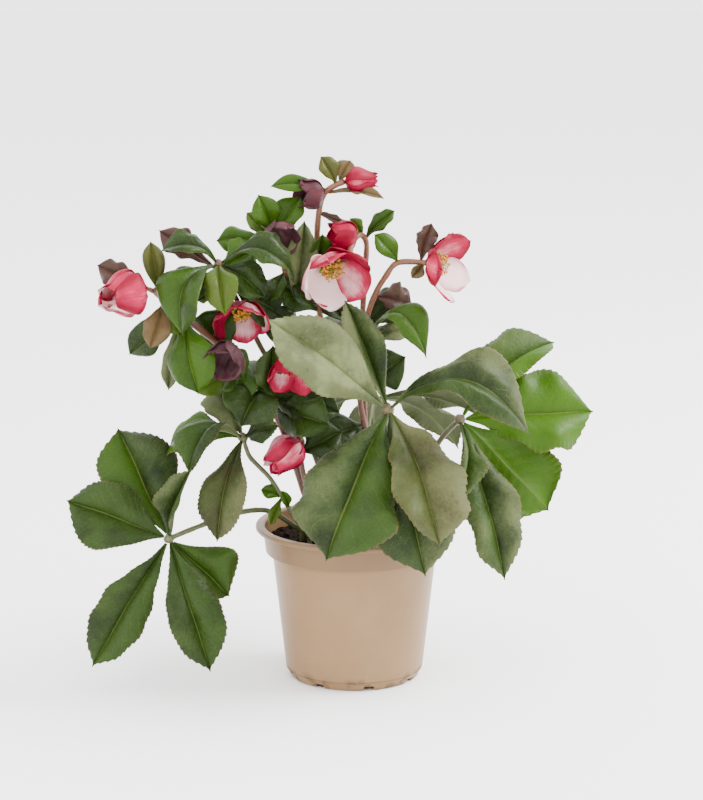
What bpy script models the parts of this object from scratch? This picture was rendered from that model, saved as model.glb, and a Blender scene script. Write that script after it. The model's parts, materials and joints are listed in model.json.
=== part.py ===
"""A hellebore in a plastic nursery pot, one object for each sub-part.

Metres, +Z up. The origin is the centre of the pot's flat underside, and -Y is the plant's best side.
The pot and its soil are turned shapes. Everything that grows is laid out in millimetres from the
middle of the soil's surface (x, y, height), and is scaled with the pot's rim:

- a stalk is a tube through a few chosen points, from the soil to its tip,
- a blade is a leaflet or bract, a strip folded along its midrib and arched from its seat to its tip,
- a flower is a five-lobed cup of sepals that sits on a stalk.
"""

import math
from typing import NamedTuple

import bmesh
import bpy
from mathutils import Matrix, Vector

MM = 0.001

# Overall sizes
POT_RIM_DIAMETER = 0.150
POT_HEIGHT = 0.118
POT_BASE_DIAMETER = 0.100

# Pot details
POT_WALL = 0.0015
LIP_HEIGHT = 0.003
LIP_OVERHANG = 0.0055
BAND_HEIGHT = 0.0205
BAND_TAPER = 0.002
BAND_STEP = 0.005
FOOT_HEIGHT = 0.007
FOOT_STEP = 0.0008
FOOT_ROUNDING = 0.003
POT_SIDES = 48
DRAIN_SLOTS = 8
SLOT_WIDTH = 0.008
SLOT_HEIGHT = 0.0035
SLOT_DEPTH = 0.006
FIRST_SLOT_ANGLE = math.radians(-122)

# Soil
SOIL_BELOW_RIM = 0.012
TOUCH_GAP = 0.0003

# Plant
DESIGN_RIM_DIAMETER = 0.150
PLANT_SCALE = POT_RIM_DIAMETER / DESIGN_RIM_DIAMETER
BLADE_THICKNESS = 0.0009
SEPAL_THICKNESS = 0.0009
BLADE_ROWS = 7
BLADE_FOOT_WIDTH = 0.0022
BLADE_TIP_WIDTH = 0.0014
WIDE_SIDE = 1.04
STALK_STEPS = 2
STALK_FOOT = 0.006
HUB_RINGS = (-1.1, -0.3, 0.25, 0.85)
CUP_RINGS = 4
CUP_SIDES = 20
CUP_BASE_LEAN = math.radians(84)
SEPALS = 5
RIM_DIP = 0.70
ARC_STEPS = 12

SOIL_TOP = POT_HEIGHT - SOIL_BELOW_RIM

# Colours are (red, green, blue, roughness)
FINISHES = {
    "pot_plastic": (0.50, 0.38, 0.27, 0.45),
    "soil": (0.035, 0.018, 0.012, 0.95),
    "leaf_dark": (0.07, 0.15, 0.04, 0.45),
    "leaf_bright": (0.16, 0.32, 0.03, 0.45),
    "stalk_green": (0.20, 0.22, 0.08, 0.5),
    "stem_red": (0.30, 0.14, 0.08, 0.5),
    "bract_green": (0.14, 0.28, 0.05, 0.45),
    "sepal_pink": (0.78, 0.18, 0.25, 0.5),
    "sepal_faded": (0.26, 0.12, 0.13, 0.6),
}


class Stalk(NamedTuple):
    """A petiole or flower stem: where it leaves the soil, then its points, in plant millimetres."""

    foot: tuple
    points: list
    radius: float
    hub: float = 0.0
    finish: str = "stem_red"


class Blade(NamedTuple):
    """A leaflet or bract: its tip, width and arch in plant millimetres, and its fold in degrees.

    face is the way its upper side looks, and widest is how far along it is widest, from 0 to 1.
    """

    tip: tuple
    width: float
    arch: float
    fold: float
    face: tuple
    widest: float = 0.6


class Flower(NamedTuple):
    """A cup of sepals: the way it looks, its turn, a sepal's length, and its sides' lean at the rim."""

    axis: tuple
    spin: float
    length: float
    lean: float
    finish: str = "sepal_pink"


# Stalks. Each starts at its foot in the soil and ends at its last point.
STALKS = {
    "left_leaf_stalk": Stalk(
        (-40, -2), [(-50, -3, 14), (-66, -4, 23), (-87, -10, 23), (-113, -22, 17), (-139, -34, 9)],
        2.0, 4.0, "stalk_green"),
    "inner_left_leaf_stalk": Stalk(
        (-34, -20), [(-46, -22, 24), (-63, -25, 53), (-78, -27, 70), (-83, -30, 86)],
        1.8, 3.8, "stalk_green"),
    "front_leaf_stalk": Stalk(
        (8, -22), [(10, -24, 30), (14, -30, 62), (21, -42, 94), (25, -52, 112)],
        2.2, 4.2, "stalk_green"),
    "right_leaf_stalk": Stalk(
        (32, -4), [(38, -5, 28), (52, -8, 58), (67, -12, 83), (79, -18, 97)],
        2.1, 4.2, "stalk_green"),
    "back_leaf_stalk": Stalk(
        (4, 30), [(6, 38, 40), (10, 52, 74), (15, 66, 96)],
        2.1, 4.2, "stalk_green"),
    "tall_stem": Stalk(
        (-6, 14), [(-10, 13, 60), (-20, 10, 130), (-27, 8, 183), (-28, 6, 230), (-25, 4, 258),
                   (-19, 2, 268), (-8, 0, 274)],
        2.3),
    "centre_stem": Stalk(
        (10, 10), [(9, 10, 60), (7, 8, 120), (6, 7, 165), (8, 6, 205), (9, 4, 227), (4, -1, 234),
                   (-2, -9, 228), (-4, -17, 217)],
        2.2),
    "right_stem": Stalk(
        (20, 2), [(14, 2, 60), (4, 1, 112), (10, -4, 174), (24, -8, 205), (34, -10, 215),
                  (54, -14, 215)],
        2.2),
    "upper_left_stem": Stalk(
        (-20, 8), [(-28, 5, 70), (-40, 1, 140), (-48, 0, 185), (-54, -2, 216), (-62, -4, 238)],
        2.2),
    "left_stem": Stalk(
        (-28, -6), [(-40, -8, 45), (-54, -11, 88), (-69, -16, 117), (-94, -22, 149), (-125, -28, 176),
                    (-148, -32, 198)],
        2.6),
    "middle_stem": Stalk(
        (-14, 0), [(-28, -2, 60), (-52, -6, 118), (-69, -11, 149), (-86, -21, 186), (-96, -27, 208),
                   (-100, -30, 217)],
        2.0, 3.6, "stalk_green"),
    "low_stem": Stalk(
        (-18, -16), [(-34, -18, 38), (-41, -19, 74), (-43, -15, 112), (-42, -15, 146), (-38, -19, 156),
                     (-32, -23, 153)],
        2.0),
}

FRONT = (0.0, -1.0, 0.35)

# Leaflets, by the stalk whose hub carries them
LEAFLETS = {
    "left_leaf_stalk": ("left_leaflet", "leaf_dark", [
        Blade((-178, -12, 89), 56, 8, 14, FRONT),
        Blade((-214, -48, 42), 48, 10, 12, FRONT),
        Blade((-196, -64, -82), 38, 12, 18, FRONT),
        Blade((-107, -76, -82), 38, 16, 20, FRONT),
        Blade((-94, -34, -36), 42, 10, 12, FRONT),
        Blade((-120, -74, 72), 28, 8, 54, (-0.6, -1.0, 0.3)),
    ]),
    "inner_left_leaf_stalk": ("inner_left_leaflet", "leaf_dark", [
        Blade((-122, -66, 66), 36, 40, 30, (-0.5, -0.6, 0.8)),
        Blade((-102, -62, 14), 34, 24, 18, (-0.3, -1.0, 0.2)),
        Blade((-140, 4, 72), 34, 22, 14, (-0.2, -0.7, 0.8)),
        Blade((-104, 14, 118), 28, 2, 14, (-0.2, -0.8, 0.5)),
        Blade((-56, -54, 100), 20, 6, 20, (0.1, -1.0, 0.5)),
    ]),
    "front_leaf_stalk": ("front_leaflet", "leaf_dark", [
        Blade((-62, -90, 187), 50, 10, 14, (0.3, -1.0, 0.5)),
        Blade((-7, -32, 190), 34, 0, 34, (0.4, -1.0, 0.2)),
        Blade((129, -78, 98), 44, 84, 16, (0.0, -0.6, 1.0)),
        Blade((-21, -102, 10), 74, 22, 10, (-0.2, -1.0, 0.5)),
        Blade((62, -106, 22), 54, 28, 20, (0.3, -1.0, 0.5)),
        Blade((52, -93, -4), 56, 18, 8, (0.1, -1.0, 0.2)),
    ]),
    "right_leaf_stalk": ("right_leaflet", "leaf_bright", [
        Blade((151, 14, 150), 44, 24, 22, (-0.2, -0.6, 1.0)),
        Blade((181, 6, 98), 60, 8, 10, (0.1, -1.0, 0.6)),
        Blade((147, -16, 26), 62, 12, 10, (0.3, -1.0, 0.4)),
        Blade((112, -60, -16), 41, 16, 16, (0.3, -1.0, 0.4)),
        Blade((76, -74, 47), 25, 14, 50, (0.8, -1.0, 0.4)),
    ]),
    "back_leaf_stalk": ("back_leaflet", "leaf_dark", [
        Blade((-58, 80, 84), 35, 16, 12, (0.0, 0.4, 1.0)),
        Blade((-48, 132, 44), 35, 26, 12, (-0.2, 0.7, 1.0)),
        Blade((17, 162, 20), 34, 30, 12, (0.0, 0.8, 1.0)),
        Blade((84, 133, 40), 34, 26, 12, (0.2, 0.7, 1.0)),
        Blade((98, 74, 80), 36, 16, 12, (0.0, 0.4, 1.0)),
    ]),
    "middle_stem": ("upper_bract", "bract_green", [
        Blade((-126, -54, 168), 38, 44, 16, (-0.7, -0.9, 0.5)),
        Blade((-94, -68, 186), 23, 20, 16, (-0.1, -1.0, 0.5)),
        Blade((-66, -40, 194), 26, 12, 18, (0.3, -1.0, 0.5)),
        Blade((-44, -34, 204), 26, 46, 20, (0.1, -0.6, 1.0)),
        Blade((-142, -36, 228), 26, 22, 20, (0.0, -0.6, 1.0)),
    ]),
}

# Bracts part of the way up a stem: the stem, how far along it from 0 to 1, and the blade
STEM_BRACTS = {
    "inner_bract_1": ("left_stem", 0.53, Blade((-84, -48, 98), 38, 20, 16, (-0.1, -1.0, 0.5))),
    "inner_bract_2": ("left_stem", 0.50, Blade((-60, -42, 158), 24, 4, 24, (0.2, -1.0, 0.2))),
    "inner_bract_3": ("left_stem", 0.46, Blade((-18, -44, 98), 34, 12, 14, (0.1, -1.0, 0.4))),
    "left_bract": ("left_stem", 0.86, Blade((-115, -54, 124), 36, 20, 14, (-0.2, -1.0, 0.3))),
    "right_bract": ("right_stem", 0.66, Blade((54, -28, 146), 30, 56, 14, (0.3, -0.5, 1.0))),
    "upright_bract": ("upper_left_stem", 0.76, Blade((-37, -10, 246), 22, 8, 24, (0.3, -1.0, 0.1))),
}

# Flowers: the stalk, how far along it from 0 to 1, and the cup
FLOWERS = {
    "top_flower": ("tall_stem", 1.0, Flower((1.0, 0.0, 0.05), 20, 23, -8)),
    "centre_flower": ("centre_stem", 1.0, Flower((-0.35, -0.9, -0.35), 10, 44, 16)),
    "right_flower": ("right_stem", 1.0, Flower((1.0, -0.15, -0.1), 0, 42, 22)),
    "left_flower": ("left_stem", 1.0, Flower((-0.85, -0.5, 0.05), 0, 42, 4)),
    "middle_flower": ("middle_stem", 0.80, Flower((0.15, -0.85, -0.45), 10, 32, 30)),
    "low_flower": ("low_stem", 1.0, Flower((0.4, -0.5, -0.75), 30, 32, 20)),
    "low_bud": ("low_stem", 0.42, Flower((-0.7, -0.9, -0.45), 0, 36, -8)),
    "faded_flower": ("left_stem", 0.73, Flower((0.3, -0.3, -0.95), 0, 30, 10, "sepal_faded")),
}


def new_collection(name):
    collection = bpy.data.collections.new(name)
    bpy.context.scene.collection.children.link(collection)
    return collection


def finish_material(name):
    """The Principled material of one finish, made on first use."""
    material = bpy.data.materials.get(name)
    if material is None:
        red, green, blue, roughness = FINISHES[name]
        material = bpy.data.materials.new(name)
        material.use_nodes = True
        shader = material.node_tree.nodes["Principled BSDF"]
        shader.inputs["Base Color"].default_value = (red, green, blue, 1.0)
        shader.inputs["Roughness"].default_value = roughness
        shader.inputs["Metallic"].default_value = 0.0
        material.diffuse_color = (red, green, blue, 1.0)
    return material


def add_object(name, data, finish, collection):
    obj = bpy.data.objects.new(name, data)
    data.materials.append(finish_material(finish))
    collection.objects.link(obj)
    return obj


def mesh_from(name, bm):
    """A smooth-shaded mesh from bm, which is freed."""
    mesh = bpy.data.meshes.new(name)
    bm.to_mesh(mesh)
    bm.free()
    mesh.shade_smooth()
    mesh.set_sharp_from_angle(angle=math.radians(40))
    return mesh


def plant_point(x, y, height):
    """A point given in plant millimetres, in the object's frame."""
    return Vector((x, y, height)) * MM * PLANT_SCALE + Vector((0.0, 0.0, SOIL_TOP))


def bezier(start, control, end, t):
    """The point at t of a quadratic Bezier curve, and the curve's direction there."""
    point = start * (1 - t) ** 2 + control * 2 * t * (1 - t) + end * t**2
    direction = ((control - start) * (1 - t) + (end - control) * t).normalized()
    return point, direction


# Pot and soil -------------------------------------------------------------------------------------


def pot_outline():
    """The pot's outer side as (radius, z), from the top of the lip down to the flat underside."""
    lip = POT_RIM_DIAMETER / 2
    band_top = lip - LIP_OVERHANG
    band_foot = band_top - BAND_TAPER
    base = POT_BASE_DIAMETER / 2
    foot_top = base + FOOT_ROUNDING / 2
    return [
        (lip, POT_HEIGHT),
        (lip, POT_HEIGHT - LIP_HEIGHT),
        (band_top, POT_HEIGHT - LIP_HEIGHT - POT_WALL),
        (band_foot, POT_HEIGHT - BAND_HEIGHT),
        (band_foot - BAND_STEP, POT_HEIGHT - BAND_HEIGHT),
        (foot_top + FOOT_STEP, FOOT_HEIGHT),
        (foot_top, FOOT_HEIGHT - FOOT_STEP),
        (base, FOOT_ROUNDING),
        (base - FOOT_ROUNDING, 0.0),
    ]


def pot_inside():
    """The pot's inner side as (radius, z), from the middle of its floor up to the lip."""
    lip = POT_RIM_DIAMETER / 2
    band_top = lip - LIP_OVERHANG - POT_WALL
    band_foot = band_top - BAND_TAPER
    base = POT_BASE_DIAMETER / 2 - POT_WALL - FOOT_ROUNDING / 2
    shoulder = POT_HEIGHT - BAND_HEIGHT + POT_WALL
    return [
        (0.0, POT_WALL),
        (base, POT_WALL),
        (band_foot - BAND_STEP, shoulder),
        (band_foot, shoulder),
        (band_top, POT_HEIGHT),
    ]


def turned_solid(name, profile, finish, collection):
    """A closed shape turned about Z from a profile that runs up the inside and down the outside."""
    bm = bmesh.new()
    verts = [bm.verts.new((radius, 0.0, z)) for radius, z in profile]
    for first, second in zip(verts, verts[1:]):
        bm.edges.new((first, second))
    obj = add_object(name, mesh_from(name, bm), finish, collection)
    screw = obj.modifiers.new("Turn", "SCREW")
    screw.steps = POT_SIDES
    screw.render_steps = POT_SIDES
    screw.use_merge_vertices = True
    screw.merge_threshold = 0.00005
    return obj


def make_pot(parts, cutters):
    profile = pot_inside() + pot_outline() + [(0.0, 0.0)]
    pot = turned_solid("pot", profile, "pot_plastic", parts)
    slots = make_slot_cutter(cutters)
    cut = pot.modifiers.new("Drain slots", "BOOLEAN")
    cut.operation = "DIFFERENCE"
    cut.object = slots
    return pot


def make_slot_cutter(cutters):
    """A ring of boxes across the pot's lower corner, one for each drain slot."""
    bm = bmesh.new()
    radius = POT_BASE_DIAMETER / 2
    for number in range(DRAIN_SLOTS):
        angle = FIRST_SLOT_ANGLE + 2 * math.pi * number / DRAIN_SLOTS
        size = Matrix.Diagonal((2 * SLOT_DEPTH, SLOT_WIDTH, 2 * SLOT_HEIGHT, 1.0))
        turn = Matrix.Rotation(angle, 4, "Z")
        place = turn @ Matrix.Translation((radius, 0.0, 0.0)) @ size
        bmesh.ops.create_cube(bm, size=1.0, matrix=place)
    obj = add_object("drain_slot_cutter", mesh_from("drain_slot_cutter", bm), "soil", cutters)
    obj.hide_render = True
    obj.display_type = "WIRE"
    return obj


def make_soil(parts):
    """The root ball fills the pot to just under its lip and keeps a touching gap to the wall."""
    inside = pot_inside()
    floor_radius = inside[1][0] - TOUCH_GAP
    shoulder_radius, shoulder = inside[2]
    rim_radius, rim = inside[-1]
    band_radius = inside[3][0]
    share = (SOIL_TOP - shoulder) / (rim - shoulder)
    top_radius = band_radius + (rim_radius - band_radius) * share
    profile = [
        (0.0, SOIL_TOP),
        (top_radius - 2 * TOUCH_GAP, SOIL_TOP),
        (band_radius - 2 * TOUCH_GAP, shoulder + TOUCH_GAP),
        (shoulder_radius - 2 * TOUCH_GAP, shoulder + TOUCH_GAP),
        (floor_radius - TOUCH_GAP, POT_WALL + TOUCH_GAP),
        (0.0, POT_WALL + TOUCH_GAP),
    ]
    return turned_solid("soil", profile, "soil", parts)


# Stalks -------------------------------------------------------------------------------------------


def smooth_path(points, steps):
    """A Catmull-Rom curve through the points, with steps pieces in each span."""
    ends = [points[0] * 2 - points[1], *points, points[-1] * 2 - points[-2]]
    path = []
    for before, start, end, after in zip(ends, ends[1:], ends[2:], ends[3:]):
        for step in range(steps):
            t = step / steps
            path.append(
                0.5 * (2 * start + (end - before) * t
                       + (2 * before - 5 * start + 4 * end - after) * t**2
                       + (3 * start - before - 3 * end + after) * t**3)
            )
    return [*path, points[-1]]


def stalk_path(stalk):
    """The stalk's centreline, which leaves the soil straight up and a touching gap above it."""
    x, y = stalk.foot
    foot = plant_point(x, y, 0) + Vector((0.0, 0.0, TOUCH_GAP))
    start = foot + Vector((0.0, 0.0, STALK_FOOT * PLANT_SCALE))
    return [foot, *smooth_path([start, *(plant_point(*p) for p in stalk.points)], STALK_STEPS)]


def along(path, share):
    """The point at a share of a path's length, and the path's direction there."""
    lengths = [(end - start).length for start, end in zip(path, path[1:])]
    left = share * sum(lengths)
    for start, end, length in zip(path, path[1:], lengths):
        if left <= length:
            return start.lerp(end, left / length), (end - start).normalized()
        left -= length
    return path[-1].copy(), (path[-1] - path[-2]).normalized()


def make_stalk(name, stalk, collection):
    """A tube along the stalk's path. A stalk with a hub swells to a knob where its leaflets meet."""
    path = stalk_path(stalk)
    radii = [stalk.radius] * len(path)
    if stalk.hub:
        heading = (path[-1] - path[-2]).normalized() * stalk.hub * MM * PLANT_SCALE
        centre = path.pop()
        radii.pop()
        for offset, radius in zip(HUB_RINGS, (stalk.radius, stalk.hub, stalk.hub, stalk.radius)):
            path.append(centre + heading * offset)
            radii.append(radius)
    curve = bpy.data.curves.new(name, "CURVE")
    curve.dimensions = "3D"
    curve.bevel_depth = MM * PLANT_SCALE
    curve.bevel_resolution = 2
    curve.use_fill_caps = True
    curve.twist_mode = "MINIMUM"
    spline = curve.splines.new("POLY")
    spline.points.add(len(path) - 1)
    for spot, point, radius in zip(spline.points, path, radii):
        spot.co = (*point, 1.0)
        spot.radius = radius
    return add_object(name, curve, stalk.finish, collection)


# Blades -------------------------------------------------------------------------------------------


def blade_share(t, widest):
    """A blade's width at t along it, as a share of its full width: a sine swell, widest at widest."""
    return math.sin(math.pi * t ** (math.log(0.5) / math.log(widest)))


def make_blade(name, seat, blade, finish, collection):
    """A grid bent to an arched midrib and folded along it, then thickened on its underside.

    Across each row the left half is a little wider than the right, as seen from above with the tip
    away, as on a real leaflet.
    """
    tip = plant_point(*blade.tip)
    chord = (tip - seat).normalized()
    face = Vector(blade.face)
    lift = (face - chord * face.dot(chord)).normalized()
    control = (seat + tip) / 2 + lift * blade.arch * MM * PLANT_SCALE
    fold = math.radians(blade.fold)
    bm = bmesh.new()
    bmesh.ops.create_grid(bm, x_segments=2, y_segments=BLADE_ROWS, size=1.0)
    for vert in bm.verts:
        side, t = vert.co.x, (vert.co.y + 1) / 2
        middle, heading = bezier(seat, control, tip, t)
        across = heading.cross(face).normalized()
        normal = across.cross(heading)
        least = BLADE_FOOT_WIDTH + (BLADE_TIP_WIDTH - BLADE_FOOT_WIDTH) * t
        swell = blade.width * MM * blade_share(t, blade.widest)
        width = (least + swell) * PLANT_SCALE / 2
        width *= WIDE_SIDE if side < 0 else 2 - WIDE_SIDE
        rise = abs(side) * width * math.sin(fold)
        vert.co = middle + across * side * width * math.cos(fold) + normal * rise
    obj = add_object(name, mesh_from(name, bm), finish, collection)
    shell = obj.modifiers.new("Thickness", "SOLIDIFY")
    shell.thickness = BLADE_THICKNESS
    shell.offset = -1.0
    shell.use_even_offset = True
    return obj


def first_heading(start, blade):
    """The way a blade sets off from start, which is towards its midrib's control point."""
    reach = plant_point(*blade.tip) - start
    face = Vector(blade.face)
    chord = reach.normalized()
    lift = (face - chord * face.dot(chord)).normalized()
    return (reach / 2 + lift * blade.arch * MM * PLANT_SCALE).normalized()


def hub_seat(stalk, blade):
    """Where a blade starts on the hub at the end of its stalk: a touching gap off it."""
    centre = stalk_path(stalk)[-1]
    return centre + first_heading(centre, blade) * (stalk.hub * MM * PLANT_SCALE + TOUCH_GAP)


def side_seat(stalk, share, blade):
    """Where a blade starts on the side of a stalk: the nearer corner of its foot clears it by a gap."""
    centre, heading = along(stalk_path(stalk), share)
    start = first_heading(centre, blade)
    out = (start - heading * start.dot(heading)).normalized()
    across = start.cross(Vector(blade.face)).normalized()
    underside = max(0.0, across.cross(start).dot(out)) * BLADE_THICKNESS
    corner = BLADE_FOOT_WIDTH * WIDE_SIDE / 2 * abs(across.dot(out))
    return centre + out * ((stalk.radius * MM + corner) * PLANT_SCALE + underside + TOUCH_GAP)


# Flowers ------------------------------------------------------------------------------------------


def sepal_arc(length, share, lean):
    """How far out and how far forward a sepal reaches at a share of its length, as (radius, height).

    It leaves the seat nearly square to the flower's axis and curves up to its lean at the tip.
    """
    radius, height = 0.0, 0.0
    step = length * share / ARC_STEPS
    for number in range(ARC_STEPS):
        bend = math.sin((number + 0.5) / ARC_STEPS * share * math.pi / 2)
        angle = CUP_BASE_LEAN + (lean - CUP_BASE_LEAN) * bend
        radius += math.sin(angle) * step
        height += math.cos(angle) * step
    return radius, height


def make_flower(name, seat, axis, flower, collection):
    """The lower half of a sphere, opened into a cup with five lobes, then thickened inwards.

    Between two sepals the rim dips to a share of their length.
    """
    bm = bmesh.new()
    bmesh.ops.create_uvsphere(bm, u_segments=CUP_SIDES, v_segments=2 * CUP_RINGS, radius=1.0)
    upper = [vert for vert in bm.verts if vert.co.z > 1e-4]
    bmesh.ops.delete(bm, geom=upper, context="VERTS")
    turn = axis.to_track_quat("Z", "X")
    for vert in bm.verts:
        down = math.acos(min(1.0, -vert.co.z)) / (math.pi / 2)
        angle = math.atan2(vert.co.y, vert.co.x)
        lobe = RIM_DIP + (1 - RIM_DIP) * (1 + math.cos(SEPALS * angle)) / 2
        radius, height = sepal_arc(flower.length, lobe * down, math.radians(flower.lean))
        angle += math.radians(flower.spin)
        local = Vector((radius * math.cos(angle), radius * math.sin(angle), height))
        vert.co = seat + turn @ (local * MM * PLANT_SCALE)
    obj = add_object(name, mesh_from(name, bm), flower.finish, collection)
    shell = obj.modifiers.new("Thickness", "SOLIDIFY")
    shell.thickness = SEPAL_THICKNESS
    shell.offset = -1.0
    return obj


def flower_place(stalk, share, flower):
    """Where a flower sits and the way it looks.

    At its stalk's end, its back clears the tip's edge by a touching gap, allowing for the slope of
    the cup's back. Part of the way up, it looks squarely away from the stalk and sits a touching gap
    off the stalk's side.
    """
    axis = Vector(flower.axis).normalized()
    radius = stalk.radius * MM * PLANT_SCALE
    centre, heading = along(stalk_path(stalk), share)
    if share >= 1.0:
        out, rise = sepal_arc(flower.length, RIM_DIP / CUP_RINGS, math.radians(flower.lean))
        facing = axis.dot(heading)
        overhang = math.sqrt(max(0.0, 1.0 - facing**2)) - facing * rise / out
        return centre + axis * (radius * max(0.0, overhang) + TOUCH_GAP), axis
    out = (axis - heading * axis.dot(heading)).normalized()
    return centre + out * (radius + TOUCH_GAP), out


# Assembly -----------------------------------------------------------------------------------------


def main():
    for obj in list(bpy.data.objects):
        bpy.data.objects.remove(obj, do_unlink=True)
    parts = new_collection("potted_hellebore")
    cutters = new_collection("cutters")
    make_pot(parts, cutters)
    make_soil(parts)
    for name, stalk in STALKS.items():
        make_stalk(name, stalk, parts)
    for carrier, (label, finish, blades) in LEAFLETS.items():
        stalk = STALKS[carrier]
        for number, blade in enumerate(blades, 1):
            make_blade(f"{label}_{number}", hub_seat(stalk, blade), blade, finish, parts)
    for name, (carrier, share, blade) in STEM_BRACTS.items():
        seat = side_seat(STALKS[carrier], share, blade)
        make_blade(name, seat, blade, "bract_green", parts)
    for name, (carrier, share, flower) in FLOWERS.items():
        seat, axis = flower_place(STALKS[carrier], share, flower)
        make_flower(name, seat, axis, flower, parts)


main()
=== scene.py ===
"""A hellebore in a plastic nursery pot: pot, soil, stalks, leaflets, bracts and flowers round a fixed CAD frame."""

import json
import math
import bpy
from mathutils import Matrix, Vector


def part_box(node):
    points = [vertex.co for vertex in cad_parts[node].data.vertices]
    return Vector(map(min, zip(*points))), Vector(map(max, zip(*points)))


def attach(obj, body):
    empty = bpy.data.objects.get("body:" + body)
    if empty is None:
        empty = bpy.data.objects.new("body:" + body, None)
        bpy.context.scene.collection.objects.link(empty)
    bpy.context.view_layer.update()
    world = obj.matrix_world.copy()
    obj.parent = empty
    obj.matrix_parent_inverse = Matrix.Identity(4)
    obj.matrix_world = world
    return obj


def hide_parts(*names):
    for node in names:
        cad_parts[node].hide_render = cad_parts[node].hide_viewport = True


bl_info = {
    "name": "Potted Hellebore",
    "version": (1, 0, 0),
    "blender": (4, 5, 0),
    "location": "3D View > Sidebar > Hellebore",
    "description": "Builds a flowering hellebore in its nursery pot, with its studio stage",
    "category": "Add Mesh",
}

from typing import NamedTuple

import bpy
import numpy as np
from bpy.props import FloatProperty, FloatVectorProperty, IntProperty, PointerProperty

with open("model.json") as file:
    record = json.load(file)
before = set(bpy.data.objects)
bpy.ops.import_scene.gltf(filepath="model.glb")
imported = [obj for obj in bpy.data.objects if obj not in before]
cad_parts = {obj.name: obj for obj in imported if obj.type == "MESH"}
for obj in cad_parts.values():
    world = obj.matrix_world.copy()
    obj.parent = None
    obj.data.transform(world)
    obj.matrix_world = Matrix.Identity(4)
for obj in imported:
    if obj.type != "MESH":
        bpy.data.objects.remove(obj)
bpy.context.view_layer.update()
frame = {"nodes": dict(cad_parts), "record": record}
FINISH_OF = {part["node"]: part["material_slot"] for part in frame["record"]["subparts"]}
MM = 0.001
SEPALS = 5


# Tables of the plant ------------------------------------------------------------------------------


class Habit(NamedTuple):
    """How one blade grows. A pair is its left and right half. Wax, light, brown and purple are shares of colour: wax
    paints waxy bloom and painted sheen, light paints fresher green and, on backlit leaflets, a painted glow; wave,
    bulge, curl and frill are shares of its half width; waves is how many waves a margin has."""

    wax_and_sheen: tuple = (0.25, 0.25)
    light: tuple = (0.1, 0.1)
    brown: float = 0.0
    purple: float = 0.0
    wave: float = 0.12
    waves: float = 1.8
    bulge: float = 0.20
    curl: float = 0.0
    frill: float = 0.0


# The wax shares paint waxy bloom together with painted sheen where a leaflet shines; the high light shares of
# right_leaflet_1 to 3 are partly a painted glow of backlit leaflets.
HABITS = {
    "left_leaflet_1": Habit((0.15, 0.4), (0.5, 0.0), wave=0.10),
    "left_leaflet_2": Habit((0.25, 0.25), (0.1, 0.1), wave=0.12, curl=0.10),
    "left_leaflet_3": Habit((0.15, 0.3), (0.2, 0.05)),
    "left_leaflet_4": Habit((0.2, 0.35), (0.2, 0.1), wave=0.13, frill=0.02),
    "left_leaflet_5": Habit((0.1, 0.2), (0.35, 0.3)),
    "left_leaflet_6": Habit((0.5, 0.1), (0.0, 0.1)),
    "inner_left_leaflet_1": Habit((0.1, 0.1), (0.0, 0.2), wave=0.06),
    "inner_left_leaflet_2": Habit((0.6, 0.3), (0.0, 0.0), brown=0.12, wave=0.14),
    "inner_left_leaflet_3": Habit((0.3, 0.3), (0.75, 0.75), wave=0.08),
    "inner_left_leaflet_4": Habit((0.85, 0.8), (0.1, 0.0)),
    "inner_left_leaflet_5": Habit((0.5, 0.4), (0.0, 0.0), wave=0.08),
    "front_leaflet_1": Habit((1.0, 1.0), (0.0, 0.0), bulge=0.10, wave=0.04),
    "front_leaflet_2": Habit((0.8, 0.5), (0.1, 0.0), wave=0.05),
    "front_leaflet_3": Habit((0.65, 0.35), (0.0, 0.1), bulge=0.15),
    "front_leaflet_4": Habit((0.15, 0.5), (0.25, 0.0), wave=0.07, waves=3.2, frill=0.045),
    "front_leaflet_5": Habit((0.8, 0.5), (0.0, 0.2), brown=0.16, wave=0.18, waves=3.2, frill=0.03),
    "front_leaflet_6": Habit((0.6, 0.3), (0.0, 0.0), wave=0.06),
    "right_leaflet_1": Habit((0.5, 0.0), (0.5, 1.1), wave=0.08),
    "right_leaflet_2": Habit((0.0, 0.0), (1.1, 1.1), wave=0.09, waves=3.5),
    "right_leaflet_3": Habit((0.0, 0.1), (1.0, 1.1), bulge=-0.25, wave=0.10),
    "right_leaflet_4": Habit((0.6, 0.5), (0.0, 0.2), wave=0.10, waves=2.5),
    "right_leaflet_5": Habit((0.5, 0.5), (0.3, 0.3)),
    "upper_bract_1": Habit((0.1, 0.1), (0.25, 0.5), wave=0.05),
    "upper_bract_2": Habit((0.0, 0.0), (0.9, 0.9), brown=0.2),
    "upper_bract_3": Habit((0.3, 0.3), (0.0, 0.1)),
    "upper_bract_4": Habit((0.5, 0.2), (0.1, 0.2), wave=0.16, waves=1.6, frill=0.07),
    "upper_bract_5": Habit((0.15, 0.1), (0.1, 0.1), wave=0.06),
    "inner_bract_1": Habit((0.35, 0.2), (0.0, 0.0), wave=0.08),
    "inner_bract_2": Habit((0.4, 0.3), (0.1, 0.1)),
    "inner_bract_3": Habit((0.1, 0.1), (0.1, 0.1)),
    "left_bract": Habit((0.1, 0.1), (0.8, 0.5), wave=0.05),
    "right_bract": Habit((0.1, 0.1), (0.7, 0.7), wave=0.08),
    "upright_bract": Habit((0.9, 0.7), (0.0, 0.0)),
}


class Sprig(NamedTuple):
    """A small bract or leaf: its stem and the share along it, its reach from foot to tip, width and arch in mm, the
    angle in degrees by which its halves fold up, the way it faces, and the share at which it is widest."""

    stem: str
    share: float
    reach: tuple
    width: float
    arch: float
    fold: float
    face: tuple
    habit: Habit
    widest: float = 0.6


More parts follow.
